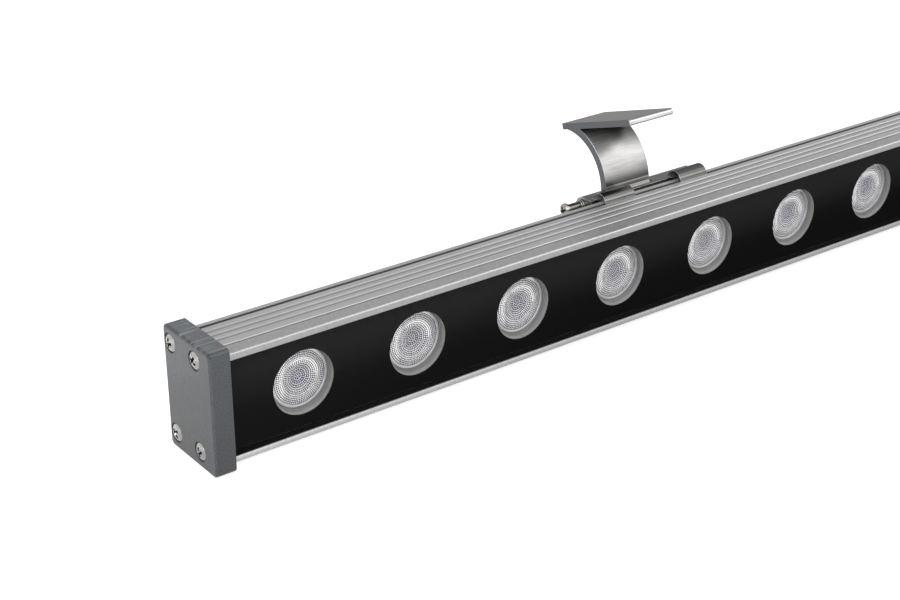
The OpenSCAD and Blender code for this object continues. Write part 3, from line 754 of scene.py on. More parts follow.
class Paint(Enum):
    """The finishes that CAD nodes and modelled pieces share, by the record's slot."""

    housing = ExtrudedSilver()
    end_cap = PowderCoat()
    glass = ClearPane()
    mask = BlackPrint()
    seal = Moulded("black_silicone", (0.022, 0.022, 0.023), 0.6)
    screw = Metal("bright_nickel", (0.46, 0.445, 0.425), 0.13, unevenness=0.1)
    gland = Metal("satin_nickel", (0.62, 0.60, 0.56), 0.28, unevenness=0.08)
    board = Moulded("white_board", (0.78, 0.78, 0.76), 0.35)
    led = Moulded("phosphor", (0.85, 0.62, 0.12), 0.3)
    chip = Moulded("moulded_chip", (0.02, 0.02, 0.022), 0.5)
    link = Moulded("ivory_connector", (0.74, 0.73, 0.66), 0.4)
    terminal = Moulded("green_terminal", (0.03, 0.16, 0.09), 0.4)
    carrier = ShadedCup()
    lens = Moulded("optic_body", (0.6, 0.62, 0.65), 0.15)
    arm = BrushedArm("brushed_aluminium", (0.5, 0.495, 0.485), 0.4, Grain.ALONG_BAR, 1700.0,
                     0.014 * MM, 0.36)
    clip = DrawnClip("dark_drawn_metal", (0.25, 0.245, 0.235), 0.24, Grain.ALONG_BAR, 1700.0,
                     0.008 * MM, 0.3)
    sleeve = Metal("turned_steel", (0.19, 0.186, 0.175), 0.25, Grain.ACROSS_BAR, 1500.0)
    grub = Metal("blackened_steel", (0.05, 0.05, 0.052), 0.35)

    def material(self) -> Material:
        """The finish's material, laid out at its first use."""
        return self.value.material()


SAWN = Metal("sawn_aluminium", (0.12, 0.127, 0.139), 0.5, Grain.NONE, 2600.0, 0.01 * MM, 0.1, 0.6)
# Painted shade for the screws' cross recesses.
RECESS_SHADE = Metal("shaded_nickel", (0.035, 0.033, 0.031), 0.45, unevenness=0.2)
# A painted highlight for the clip's eased edges.
EDGE_HIGHLIGHT = Metal("painted_edge_highlight", (0.85, 0.84, 0.82), 0.3, unevenness=0.2)
AGED = Metal("aged_nickel", (0.34, 0.33, 0.31), 0.18, unevenness=0.2)
PANE_EDGE = Moulded("blackened_edge", (0.022, 0.022, 0.023), 0.6)


def clear_selection() -> None:
    """Leaves edit mode and deselects every object."""
    active = bpy.context.view_layer.objects.active
    if active is not None and active.mode != "OBJECT":
        bpy.ops.object.mode_set(mode="OBJECT")
    bpy.ops.object.select_all(action="DESELECT")


def take(piece: Object, *others: Object) -> None:
    """Selects the piece and any others, with the piece active.

    Args:
        piece: The object that becomes active.
        *others: More objects to select.
    """
    clear_selection()
    for each in (*others, piece):
        each.select_set(True)
    bpy.context.view_layer.objects.active = piece


def edit(piece: Object) -> None:
    """Opens the piece in edit mode, by its vertices, with all of it selected.

    Args:
        piece: The piece.
    """
    take(piece)
    bpy.ops.object.mode_set(mode="EDIT")
    bpy.ops.mesh.select_mode(type="VERT")
    bpy.ops.mesh.select_all(action="SELECT")


def select(piece: Object, kind: str, wanted: Callable[[Vector, Vector], bool]) -> None:
    """Selects some faces or edges of a piece that is in edit mode, and nothing else.

    Args:
        piece: The piece.
        kind: FACE or EDGE.
        wanted: Whether a face with that centre and normal, or an edge with those ends, is selected.
    """
    bpy.ops.mesh.select_mode(type=kind)
    bpy.ops.mesh.select_all(action="DESELECT")
    bpy.ops.object.mode_set(mode="OBJECT")
    mesh = piece.data
    if kind == "FACE":
        for face in mesh.polygons:
            face.select = wanted(face.center, face.normal)
    else:
        for line in mesh.edges:
            line.select = wanted(*(mesh.vertices[i].co for i in line.vertices))
    bpy.ops.object.mode_set(mode="EDIT")


def name_active(name: str) -> Object:
    """Names the newest object and its mesh, and returns it.

    Args:
        name: The new name.

    Returns:
        The object.
    """
    made = bpy.context.object
    made.name = made.data.name = name
    return made


def linked(name: str, data: ID) -> Object:
    """A new object in the scene for a mesh, lamp or camera, which takes the same name.

    Args:
        name: The object's name.
        data: The mesh, lamp or camera.

    Returns:
        The new object.
    """
    made = bpy.data.objects.new(name, data)
    data.name = name
    bpy.context.scene.collection.objects.link(made)
    return made


def wear(piece: Object, *materials: Material) -> None:
    """Replaces a piece's materials.

    Args:
        piece: The piece.
        *materials: Its new materials, in the order of their slots.
    """
    piece.data.materials.clear()
    for material in materials:
        piece.data.materials.append(material)


def split(piece: Object, second: Callable[[Vector, Vector], bool]) -> None:
    """Shares a piece's faces out to its two materials.

    Args:
        piece: The piece.
        second: Whether a face with that centre and normal wears the second material.
    """
    for face in piece.data.polygons:
        face.material_index = int(second(face.center, face.normal))


def apply_modifiers(piece: Object) -> None:
    """Applies every modifier of a piece in order.

    Args:
        piece: The piece.
    """
    take(piece)
    for modifier in list(piece.modifiers):
        bpy.ops.object.modifier_apply(modifier=modifier.name)


def block(name: str, low: Sequence[float], high: Sequence[float]) -> Object:
    """A box between two corners, with its place in its mesh.

    Args:
        name: The box's name.
        low: Its lowest corner.
        high: Its highest corner.

    Returns:
        The box.
    """
    clear_selection()
    low, high = Vector(low), Vector(high)
    bpy.ops.mesh.primitive_cube_add(size=1.0, location=(low + high) / 2, scale=high - low)
    bpy.ops.object.transform_apply(location=True, rotation=True, scale=True)
    return name_active(name)


def rod(name: str, radius: float, low: float, high: float, sides: int = 48) -> Object:
    """A rod along Z from low to high, with its place in its mesh.

    Args:
        name: The rod's name.
        radius: Its radius.
        low: The height of its foot.
        high: The height of its top.
        sides: The number of faces round it.

    Returns:
        The rod.
    """
    clear_selection()
    bpy.ops.mesh.primitive_cylinder_add(vertices=sides, radius=radius, depth=high - low,
                                        location=(0.0, 0.0, (low + high) / 2))
    bpy.ops.object.transform_apply(location=True, rotation=True, scale=True)
    return name_active(name)


def turned(name: str, outline: Sequence[Point], sides: int = 64) -> Object:
    """Turns an outline round the Z axis, as on a lathe.

    Args:
        name: The piece's name.
        outline: Radius and height of each point, from one end round to the other.
        sides: The number of faces round the axis.

    Returns:
        The turned piece, closed where the outline starts and ends on the axis.
    """
    clear_selection()
    bpy.ops.mesh.primitive_plane_add(size=MM, location=(0.0, 0.0, 0.0))
    made = name_active(name)
    edit(made)
    bpy.ops.mesh.merge(type="CENTER")
    bpy.ops.transform.translate(value=(outline[0][0], 0.0, outline[0][1]))
    for (r, z), (next_r, next_z) in zip(outline, outline[1:]):
        bpy.ops.mesh.extrude_region_move(
            TRANSFORM_OT_translate={"value": (next_r - r, 0.0, next_z - z)})
    bpy.ops.mesh.select_all(action="SELECT")
    bpy.ops.mesh.spin(steps=sides, angle=FULL_TURN, center=(0, 0, 0), axis=(0, 0, 1))
    bpy.ops.mesh.select_all(action="SELECT")
    bpy.ops.mesh.remove_doubles(threshold=WELD)
    bpy.ops.mesh.normals_make_consistent(inside=False)
    bpy.ops.object.mode_set(mode="OBJECT")
    return made


def arc(centre: Point, radius: float, start: float, end: float, steps: int) -> list[Point]:
    """The points of an arc in steps, with its angles in degrees from the outward direction."""
    turns = [math.radians(start + (end - start) * i / steps) for i in range(steps + 1)]
    return [(centre[0] + radius * math.cos(t), centre[1] + radius * math.sin(t)) for t in turns]


def ring_outline(bore: float, r: float, length: float, bevel: float) -> list[Point]:
    """The closed outline of a ring with bevelled outer edges."""
    return [(bore, 0.0), (r - bevel, 0.0), (r, bevel), (r, length - bevel), (r - bevel, length),
            (bore, length), (bore, 0.0)]


def carve(piece: Object, tool: Object, operation: str = "DIFFERENCE") -> None:
    """Cuts a tool out of a piece, or keeps what they share, and deletes the tool.

    Args:
        piece: The piece.
        tool: The object that cuts it.
        operation: DIFFERENCE to cut, or INTERSECT to keep what they share.
    """
    modifier = piece.modifiers.new("carve", "BOOLEAN")
    modifier.operation = operation
    modifier.solver = "EXACT"
    modifier.object = tool
    apply_modifiers(piece)
    bpy.data.objects.remove(tool)


def ease(piece: Object, width: float, segments: int, limit: float,
         edge_slot: int = -1) -> None:
    """Rounds a piece's sharp edges and evens its shading.

    Args:
        piece: The piece.
        width: The rounding's width.
        segments: The faces across the rounding.
        limit: The least angle, in degrees, that counts as sharp.
        edge_slot: The material slot of the rounded edges, or -1 for that of the faces beside them.
    """
    bevel = piece.modifiers.new("ease", "BEVEL")
    bevel.limit_method = "ANGLE"
    bevel.angle_limit = math.radians(limit)
    bevel.width = width
    bevel.segments = segments
    bevel.material = edge_slot
    bevel.use_clamp_overlap = True
    bevel.miter_outer = "MITER_ARC"
    apply_modifiers(piece)
    smooth(piece)


def smooth(piece: Object, limit: float = 32.0) -> None:
    """Shades a piece smooth up to an angle and keeps its flats flat.

    Args:
        piece: The piece.
        limit: The angle in degrees.
    """
    take(piece)
    bpy.ops.object.shade_smooth_by_angle(angle=math.radians(limit))
    modifier = piece.modifiers.new("flats", "WEIGHTED_NORMAL")
    modifier.keep_sharp = True
    apply_modifiers(piece)


def copy_of_node(node: str, name: str) -> Object:
    """A clean copy of a CAD node's mesh, with its triangles merged into flat faces.

    Args:
        node: The CAD node.
        name: The new piece's name.

    Returns:
        The copy.
    """
    made = linked(name, bpy.data.objects[node].data.copy())
    wear(made)
    take(made)
    bpy.ops.mesh.customdata_custom_splitnormals_clear()
    edit(made)
    bpy.ops.mesh.remove_doubles(threshold=WELD)
    bpy.ops.mesh.dissolve_limited(angle_limit=FLAT)
    bpy.ops.object.mode_set(mode="OBJECT")
    return made


def joined(name: str, parts: Sequence[Object]) -> Object:
    """Joins several objects into one piece with that name.

    Args:
        name: The piece's name.
        parts: The objects, which become one.

    Returns:
        The piece.
    """
    take(*parts)
    bpy.ops.object.join()
    return name_active(name)


def copied(piece: Object, name: str, matrix: Matrix) -> Object:
    """A copy of a piece with its own mesh, carried to a place by a matrix.

    Args:
        piece: The piece.
        name: The copy's name.
        matrix: Where it is carried.

    Returns:
        The copy.
    """
    made = linked(name, piece.data.copy())
    made.data.transform(matrix)
    return made


def pointing(x: float, y: float, z: float, outward: float) -> Matrix:
    """Carries a piece that stands up Z to a place, pointing right for 1 and left for -1."""
    return Matrix.Translation((x, y, z)) @ Matrix.Rotation(outward * math.pi / 2, 4, "Y")


def spun(turn: float) -> Matrix:
    """A turn about Z, in radians."""
    return Matrix.Rotation(turn, 4, "Z")


def raised(height: float) -> Matrix:
    """A shift up Z."""
    return Matrix.Translation((0.0, 0.0, height))


def hand_over(piece: Object, body: str, slot: str, nodes: Sequence[str],
              material: Optional[Material] = None) -> None:
    """Gives a finished piece its material and body, and hides the nodes that it stands for.

    Args:
        piece: The finished piece.
        body: The CAD body that it rides on.
        slot: The record's material slot.
        nodes: The CAD nodes that it replaces.
        material: Its material, or None for the slot's own or those that it has.
    """
    if material is not None or not piece.data.materials:
        wear(piece, material or Paint[slot].material())
    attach(piece, body)
    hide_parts(*nodes)
    LOG.info("%s rides on %s and stands for %s", piece.name, body, ", ".join(nodes))


@dataclass
class PanScrew:
    """A pan head screw with a cross recess, modelled head up with its seat at the origin.

    Shares of heights are counted in head heights, and recess_share in head diameters.
    """

    head_d: float
    head_h: float
    shank_d: float
    shank_len: float
    rim_share: float = 0.26
    recess_share: float = 0.78
    blade_w: float = 1.5 * MM
    plating: Metal = Paint.screw.value
    tip_share: float = 0.2
    seat_bevel: float = 0.15 * MM
    dome_steps: int = 9
    edge: float = 0.07 * MM
    sharp: float = 35.0
    floor_share: float = 0.25
    blade_share: float = 1.2
    taper: Triple = (0.45, 0.5, 1.0)
    shaded_share: float = 0.9
    bottom_share: float = 0.4
    wall_normal: float = 0.6

    def build(self, name: str) -> Object:
        """Models the screw.

        Args:
            name: The screw's name.

        Returns:
            The screw, head up, with its shank below the origin.
        """
        head_r, shank_r = self.head_d / 2, self.shank_d / 2
        dome_h = self.head_h * (1.0 - self.rim_share)
        dome_r = (head_r ** 2 + dome_h ** 2) / (2 * dome_h)
        start = math.degrees(math.asin((dome_r - dome_h) / dome_r))
        tip = self.shank_d * self.tip_share
        outline = [(0.0, -self.shank_len), (shank_r - tip, -self.shank_len),
                   (shank_r, -self.shank_len + tip), (shank_r, 0.0),
                   (head_r - self.seat_bevel, 0.0), (head_r, self.seat_bevel),
                   *arc((0.0, self.head_h - dome_r), dome_r, start, 90.0, self.dome_steps)]
        screw = turned(name, outline)
        for turn in (0.0, math.pi / 2):
            carve(screw, self.blade(turn))
        ease(screw, self.edge, 2, self.sharp)
        # The cross recess wears painted shade.
        wear(screw, self.plating.material(), RECESS_SHADE.material())
        split(screw, self.shaded)
        return screw

    def shaded(self, centre: Vector, normal: Vector) -> bool:
        """Whether a face with that centre and normal is in the recess.

        Args:
            centre: The face's centre.
            normal: Its normal.

        Returns:
            Whether it wears the recess's painted shade.
        """
        return 0.0 < centre.z < self.head_h * self.shaded_share and \
            math.hypot(centre.x, centre.y) < self.head_d * self.recess_share / 2 and \
            (normal.z < self.wall_normal or centre.z < self.head_h * self.bottom_share)

    def blade(self, turn: float) -> Object:
        """One tapered blade of the cross recess, turned about the screw's axis.

        Args:
            turn: The turn in radians.

        Returns:
            The blade.
        """
        reach = self.head_d * self.recess_share / 2
        floor = self.head_h * self.floor_share
        made = block("blade", (-reach, -self.blade_w / 2, floor),
                     (reach, self.blade_w / 2, self.head_h * self.blade_share))
        edit(made)
        select(made, "FACE", lambda centre, normal: normal.z < -FACING)
        bpy.ops.transform.resize(value=self.taper, center_override=(0.0, 0.0, floor))
        bpy.ops.object.mode_set(mode="OBJECT")
        made.data.transform(spun(turn))
        return made


@dataclass
class Housing:
    """The ribbed extrusion, with its edges eased so that they catch the light."""

    edge: float = 0.14 * MM
    sharp: float = 36.0

    def build(self) -> None:
        """Models and dresses the housing."""
        shell = copy_of_node("housing", "housing_profile")
        ease(shell, self.edge, 2, self.sharp)
        hand_over(shell, "bar", "housing", ["housing"])


@dataclass
class FrontPane:
    """The front glass with its blackened edge, whose back lies just inside the print on it."""

    bond: float = 0.05 * MM

    def build(self) -> None:
        """Models and dresses the pane."""
        pane = copy_of_node("front_glass", "front_pane")
        edit(pane)
        select(pane, "FACE", lambda centre, normal: normal.y > FACING)
        bpy.ops.transform.translate(value=(0.0, self.bond, 0.0))
        bpy.ops.object.mode_set(mode="OBJECT")
        wear(pane, Paint.glass.material(), PANE_EDGE.material())
        split(pane, lambda centre, normal: abs(normal.y) < ASIDE)
        hand_over(pane, "bar", "glass", ["front_glass"])


@dataclass
class EndCap:
    """A cast end cap with rounded corners, a rolled outer edge and seats for four screws."""

    side: str
    corner_r: float = 2.2 * MM
    roll_r: float = 0.9 * MM
    inner_r: float = 0.3 * MM
    edge: float = 0.18 * MM
    sharp: float = 50.0
    pocket: float = 2.5 * MM
    pocket_gap: float = 0.15 * MM
    seat_d: float = 8.2 * MM
    seat_depth: float = 0.7 * MM
    port_r: float = 1.95 * MM
    gland_r: float = 6.05 * MM
    overrun: float = 1.0 * MM
    screw: PanScrew = field(default_factory=lambda: PanScrew(7.2 * MM, 1.5 * MM, 3.5 * MM, 18 * MM))
    screw_turns: tuple[float, ...] = (0.3, 1.1, 0.75, 0.1)

    def __post_init__(self) -> None:
        """Reads the cap's, the housing's and the screws' places from the frame."""
        self.low, self.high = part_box(f"end_cap_{self.side}")
        self.housing_low, self.housing_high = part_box("housing")
        screws_low, screws_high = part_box(f"cap_screws_{self.side}")
        head_r = self.screw.head_d / 2
        self.screw_yz = [(y, z) for y in (screws_low.y + head_r, screws_high.y - head_r)
                         for z in (screws_low.z + head_r, screws_high.z - head_r)]
        self.outward = -1.0 if self.side == "left" else 1.0
        ends = (self.low.x, self.high.x)
        self.face_x, self.inner_x = ends if self.side == "left" else ends[::-1]

    def body(self) -> Object:
        """The cap as a block with rounded corners and a rolled outer edge.

        Returns:
            The block.
        """
        cap = block(f"end_cap_{self.side}_casting", self.low, self.high)
        edit(cap)
        select(cap, "EDGE", lambda a, b: abs(a.x - b.x) > self.corner_r)
        bpy.ops.mesh.bevel(offset=self.corner_r, segments=8, affect="EDGES")
        for x, radius, steps in ((self.face_x, self.roll_r, 5), (self.inner_x, self.inner_r, 2)):
            select(cap, "FACE",
                   lambda centre, normal: abs(normal.x) > FACING and abs(centre.x - x) < MM)
            bpy.ops.mesh.region_to_loop()
            bpy.ops.mesh.bevel(offset=radius, segments=steps, affect="EDGES")
        bpy.ops.object.mode_set(mode="OBJECT")
        return cap

    def drill(self, cap: Object, y: float, z: float, radius: float, depth: float,
              sides: int = 48) -> None:
        """Cuts a round hole of some depth into the cap's outer face.

        Args:
            cap: The cap.
            y: The hole's place from front to back.
            z: Its place up the cap.
            radius: Its radius.
            depth: Its depth.
            sides: The number of faces round it.
        """
        tool = rod("drill", radius, -depth, self.overrun, sides)
        tool.data.transform(pointing(self.face_x, y, z, self.outward))
        carve(cap, tool)

    def build(self) -> None:
        """Models and dresses the cap and its screws."""
        cap = self.body()
        ends = sorted((self.inner_x - self.outward * self.overrun,
                       self.inner_x + self.outward * self.pocket))
        gap = Vector((0.0, self.pocket_gap, self.pocket_gap))
        low, high = self.housing_low - gap, self.housing_high + gap
        carve(cap, block("pocket", (ends[0], low.y, low.z), (ends[1], high.y, high.z)))
        through = 2 * (self.high.x - self.low.x)
        for y, z in self.screw_yz:
            self.drill(cap, y, z, self.seat_d / 2, self.seat_depth)
            self.drill(cap, y, z, self.port_r, through)
        if self.side == "right":
            gland_low, gland_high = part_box("gland_body")
            middle = (gland_low + gland_high) / 2
            self.drill(cap, middle.y, middle.z, self.gland_r, through, 64)
        ease(cap, self.edge, 3, self.sharp)
        hand_over(cap, "bar", "end_cap", [f"end_cap_{self.side}"])
        self.screws()

    def screws(self) -> None:
        """Models one screw and copies it to the cap's four seats."""
        master = self.screw.build("cap_screw")
        copies = [copied(master, f"cap_screw_{i}", pointing(self.face_x, y, z, self.outward) @
                         raised(-self.seat_depth) @ spun(turn))
                  for i, ((y, z), turn) in enumerate(zip(self.screw_yz, self.screw_turns))]
        bpy.data.objects.remove(master)
        group = joined(f"cap_screws_{self.side}_plated", copies)
        hand_over(group, "bar", "screw", [f"cap_screws_{self.side}"])


@dataclass
class BeadedLens:
    """One round optic: a turned body whose front carries rings of small beads."""

    flange: float = 1.6 * MM
    body_less: float = 1.15 * MM
    back_r: float = 5.5 * MM
    hollow_r: float = 3.0 * MM
    hollow_depth: float = 3.4 * MM
    rim_w: float = 0.8 * MM
    rim_r: float = 0.3 * MM
    rim_less: float = 0.2 * MM
    rim_foot: float = 0.1 * MM
    dish_depth: float = 1.5 * MM
    crest_share: float = 0.72
    crest_less: float = 0.1 * MM
    outer_drop: float = 0.3 * MM
    front_steps: int = 20
    sides: int = 96
    bead_pitch: float = 0.84 * MM
    bead_h: float = 0.2 * MM
    bead_foot: float = 0.52
    bead_top: float = 0.72
    bead_sides: int = 8
    beaded_past: float = 0.35
    slope_step: float = 0.1 * MM
    # The painted shade between the beads, as a share of the lens's brightness.
    gap_tone: float = 0.1
    rings: tuple[tuple[int, int], ...] = ((1, 6), (3, 16), (5, 30), (8, 46), (14, 76))

    def __post_init__(self) -> None:
        """Reads the lens's size from the first lens in the frame."""
        low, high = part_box("lens_1")
        self.radius = (high.x - low.x) / 2
        self.height = high.y - low.y

    def front_height(self, r: float) -> float:
        """The front's height above the lens's back at a radius: a crest round a shallow dish.

        Args:
            r: The radius.

        Returns:
            The height.
        """
        share = min(r / (self.radius - self.rim_w), 1.0)
        top = self.height - self.bead_h - self.crest_less
        if share < self.crest_share:
            return top - self.dish_depth * (0.5 + 0.5 * math.cos(math.pi * share / self.crest_share))
        past = (share - self.crest_share) / (1.0 - self.crest_share)
        return top - self.outer_drop * (0.5 - 0.5 * math.cos(math.pi * past))

    def body(self) -> Object:
        """The turned body, front up, with its back on the origin.

        Returns:
            The body.
        """
        seat_z = self.height - self.flange
        inner = self.radius - self.rim_w
        rim_z = self.height - self.rim_less
        front = [inner * i / self.front_steps for i in range(self.front_steps, -1, -1)]
        outline = [(0.0, self.hollow_depth), (self.hollow_r, self.hollow_depth), (self.hollow_r, 0.0),
                   (self.back_r, 0.0), (self.radius - self.body_less, seat_z), (self.radius, seat_z),
                   *arc((self.radius - self.rim_r, rim_z - self.rim_r), self.rim_r, 0.0, 90.0, 3),
                   (inner + self.rim_foot, rim_z), *((r, self.front_height(r)) for r in front)]
        return turned("lens_body", outline, self.sides)

    def bead(self) -> Object:
        """One small bead standing on the origin.

        Returns:
            The bead.
        """
        r, h = self.bead_pitch * self.bead_foot, self.bead_h
        outline = [(0.0, -h), (r, -h / 2), (r * self.bead_top, h / 2), (0.0, h)]
        return turned("bead", outline, self.bead_sides)

    def ring_count(self) -> int:
        """How many rings of beads fit inside the rim."""
        return int((self.radius - self.rim_w - self.bead_pitch / 2) / self.bead_pitch)

    def beads(self) -> Object:
        """All the beads, each ring arrayed round the axis, tilted as the front is there.

        Returns:
            The beads, joined.
        """
        seed = self.bead()
        bpy.ops.object.empty_add()
        turner = bpy.context.object
        rings = [copied(seed, "ring_0", raised(self.front_height(0.0)))]
        for k in range(1, self.ring_count() + 1):
            r, step = k * self.bead_pitch, self.slope_step
            slope = (self.front_height(r + step) - self.front_height(r - step)) / (2 * step)
            number = next(number for last, number in self.rings if k <= last)
            seat = Matrix.Translation((r, 0.0, self.front_height(r))) @ \
                Matrix.Rotation(-math.atan(slope), 4, "Y")
            ring = copied(seed, f"ring_{k}", seat)
            turner.rotation_euler = (0.0, 0.0, FULL_TURN / number)
            bpy.context.view_layer.update()
            array = ring.modifiers.new("ring", "ARRAY")
            array.count = number
            array.use_relative_offset = False
            array.use_object_offset = True
            array.offset_object = turner
            apply_modifiers(ring)
            rings.append(ring)
        bpy.data.objects.remove(turner)
        bpy.data.objects.remove(seed)
        return joined("beads", rings)

    def master(self) -> Object:
        """The lens with its beads, front up, with one material for the beads and one with painted
        shade between them.

        Returns:
            The lens.
        """
        body, beads = self.body(), self.beads()
        wear(body, *(bpy.data.materials.new(slot) for slot in ("beads", "moulding")))
        wear(beads, body.data.materials[0])
        beaded_r = (self.ring_count() + self.beaded_past) * self.bead_pitch
        front_z = self.height - 2 * self.flange
        split(body, lambda at, normal: math.hypot(at.x, at.y) < beaded_r and at.z > front_z)
        lens = joined("lens_master", [body, beads])
        smooth(lens, 60.0)
        return lens

    def build(self) -> None:
        """Models the lens once and copies it to every lens's place."""
        master = self.master()
        face_front = Matrix.Rotation(math.pi / 2, 4, "X")
        index = 1
        while f"lens_{index}" in bpy.data.objects:
            low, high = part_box(f"lens_{index}")
            middle = (low + high) / 2
            back = Vector((middle.x, high.y, middle.z))
            optic = copied(master, f"beaded_lens_{index:02d}", Matrix.Translation(back) @ face_front)
            # The second slot, between the beads, wears the painted shade.
            for slot, (name, tone) in enumerate((("beaded_optic", 1.0),
                                                 ("shade_between_beads", self.gap_tone))):
                finish = BeadedOptic(f"{name}_{index:02d}", tuple(middle), self.radius, tone)
                optic.data.materials[slot] = finish.material()
            hand_over(optic, "bar", "lens", [f"lens_{index}"])
            index += 1
        bpy.data.objects.remove(master)


@dataclass
class Bracket:
    """A sliding, tilting bracket: clip, arm, pivot screw, sleeve and washers."""

    side: str
    edge: float = 0.25 * MM
    sharp: float = 40.0
    sawn_normal: float = 0.95
    screw: PanScrew = field(default_factory=lambda: PanScrew(
        6.2 * MM, 2.4 * MM, 2.5 * MM, 66 * MM, rim_share=0.5, recess_share=0.8, blade_w=1.2 * MM,
        plating=AGED))
    screw_turn: float = 0.5
    bore_r: float = 1.3 * MM
    sleeve_bevel: float = 0.35 * MM
    washer_bevel: float = 0.15 * MM
    washer_gap: float = 0.05 * MM
    inner_less: float = 0.3 * MM

    def __post_init__(self) -> None:
        """Reads the tilt axis from the frame."""
        low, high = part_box(f"pivot_sleeve_{self.side}")
        self.axis_y, self.axis_z = (low.y + high.y) / 2, (low.z + high.z) / 2

    def along_axis(self, x: float) -> Matrix:
        """Carries a piece that stands up Z to the tilt axis, pointing left."""
        return pointing(x, self.axis_y, self.axis_z, -1.0)

    def build(self) -> None:
        """Models and dresses the bracket."""
        self.arm()
        clip = copy_of_node(f"bracket_clip_{self.side}", f"rail_clip_{self.side}")
        # The clip's eased edges wear a painted highlight.
        wear(clip, Paint.clip.material(), EDGE_HIGHLIGHT.material())
        ease(clip, self.edge, 3, self.sharp, 1)
        hand_over(clip, f"clip_{self.side}", "clip", [f"bracket_clip_{self.side}"])
        self.hinge()

    def arm(self) -> None:
        """The arm, brushed on its broad faces and sawn at its two ends."""
        arm = copy_of_node(f"bracket_arm_{self.side}", f"tilting_arm_{self.side}")
        ease(arm, self.edge, 3, self.sharp)
        wear(arm, Paint.arm.material(), SAWN.material())
        split(arm, lambda centre, normal: abs(normal.x) > self.sawn_normal)
        hand_over(arm, f"arm_{self.side}", "arm", [f"bracket_arm_{self.side}"])

    def ring(self, name: str, x: float, r: float, length: float, bevel: float) -> Object:
        """A ring of some radius and length on the screw, with its right end at x.

        Args:
            name: The ring's name.
            x: The place of its right end.
            r: Its outer radius.
            length: Its length.
            bevel: Its edges' bevel.

        Returns:
            The ring.
        """
        made = turned(name, ring_outline(self.bore_r, r, length, bevel), 48)
        made.data.transform(self.along_axis(x))
        return made

    def hinge(self) -> None:
        """The pivot screw with its sleeve and two washers."""
        body = f"clip_{self.side}"
        low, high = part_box(f"pivot_screw_{self.side}")
        screw = self.screw.build(f"pivot_screw_{self.side}_plated")
        screw.data.transform(self.along_axis(low.x + self.screw.head_h) @ spun(self.screw_turn))
        hand_over(screw, body, "screw", [f"pivot_screw_{self.side}"])

        low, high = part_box(f"pivot_sleeve_{self.side}")
        sleeve = self.ring(f"spacer_sleeve_{self.side}", high.x, (high.z - low.z) / 2,
                           high.x - low.x, self.sleeve_bevel)
        smooth(sleeve)
        hand_over(sleeve, body, "sleeve", [f"pivot_sleeve_{self.side}"])

        low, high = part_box(f"pivot_washers_{self.side}")
        thick = (high.x - low.x - self.washer_gap) / 2
        outer_r = (high.z - low.z) / 2
        rings = [self.ring(f"washer_{i}", x, r, thick, self.washer_bevel)
                 for i, (x, r) in enumerate(((high.x, outer_r),
                                             (low.x + thick, outer_r - self.inner_less)))]
        washers = joined(f"pivot_washers_{self.side}_plated", rings)
        smooth(washers)
        hand_over(washers, body, "screw", [f"pivot_washers_{self.side}"], AGED.material())


@dataclass
class Gland:
    """The cable gland in the right end cap: hexagon body and clamping nut."""

    across_flats: float = 15.0 * MM
    hex_h: float = 4.0 * MM
    body_edge: float = 0.3 * MM
    body_sharp: float = 35.0
    nut_edge: float = 0.12 * MM
    nut_sharp: float = 30.0
    nut_len: float = 10.95 * MM
    nut_gap: float = 0.1 * MM
    nut_hex_share: float = 0.6
    chamfer: float = 0.5 * MM
    collar_step: float = 0.2 * MM
    collar_less: float = 0.6 * MM
    dome_r: float = 2.8 * MM
    dome_drop: float = 0.4 * MM
    cable_r: float = 3.05 * MM
    neck_r: float = 5.45 * MM
    neck_len: float = 8.0 * MM

    def build(self) -> None:
        """Models the nut and eases the body."""
        low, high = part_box("gland_body")
        middle = (low + high) / 2
        cap_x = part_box("end_cap_right")[1].x
        body = copy_of_node("gland_body", "gland_body_plated")
        ease(body, self.body_edge, 2, self.body_sharp)
        hand_over(body, "bar", "gland", ["gland_body"])
        nut = self.nut()
        nut.data.transform(pointing(cap_x, middle.y, middle.z, 1.0) @
                           raised(self.hex_h + self.nut_gap))
        hand_over(nut, "bar", "gland", ["gland_nut"])

    def nut(self) -> Object:
        """The clamping nut: a chamfered hexagon under a domed collar, bored right through.

        Returns:
            The nut.
        """
        flat_r = self.across_flats / 2
        corner_r = flat_r / math.cos(math.pi / 6)
        hex_len = self.nut_len * self.nut_hex_share
        collar_r, top = flat_r - self.collar_less, self.nut_len - self.dome_drop
        envelope = [(0.0, 0.0), (flat_r, 0.0), (corner_r, self.chamfer),
                    (corner_r, hex_len - self.chamfer), (flat_r - self.collar_step, hex_len),
                    (collar_r, hex_len + self.collar_step),
                    *arc((collar_r - self.dome_r, top - self.dome_r), self.dome_r, 0.0, 75.0, 6),
                    (0.0, top)]
        nut = rod("gland_nut_plated", corner_r, 0.0, self.nut_len, 6)
        carve(nut, turned("envelope", envelope, 72), "INTERSECT")
        carve(nut, rod("bore", self.neck_r, -MM, self.neck_len, 64))
        carve(nut, rod("bore", self.cable_r, -MM, self.nut_len + MM, 64))
        ease(nut, self.nut_edge, 2, self.nut_sharp)
        return nut


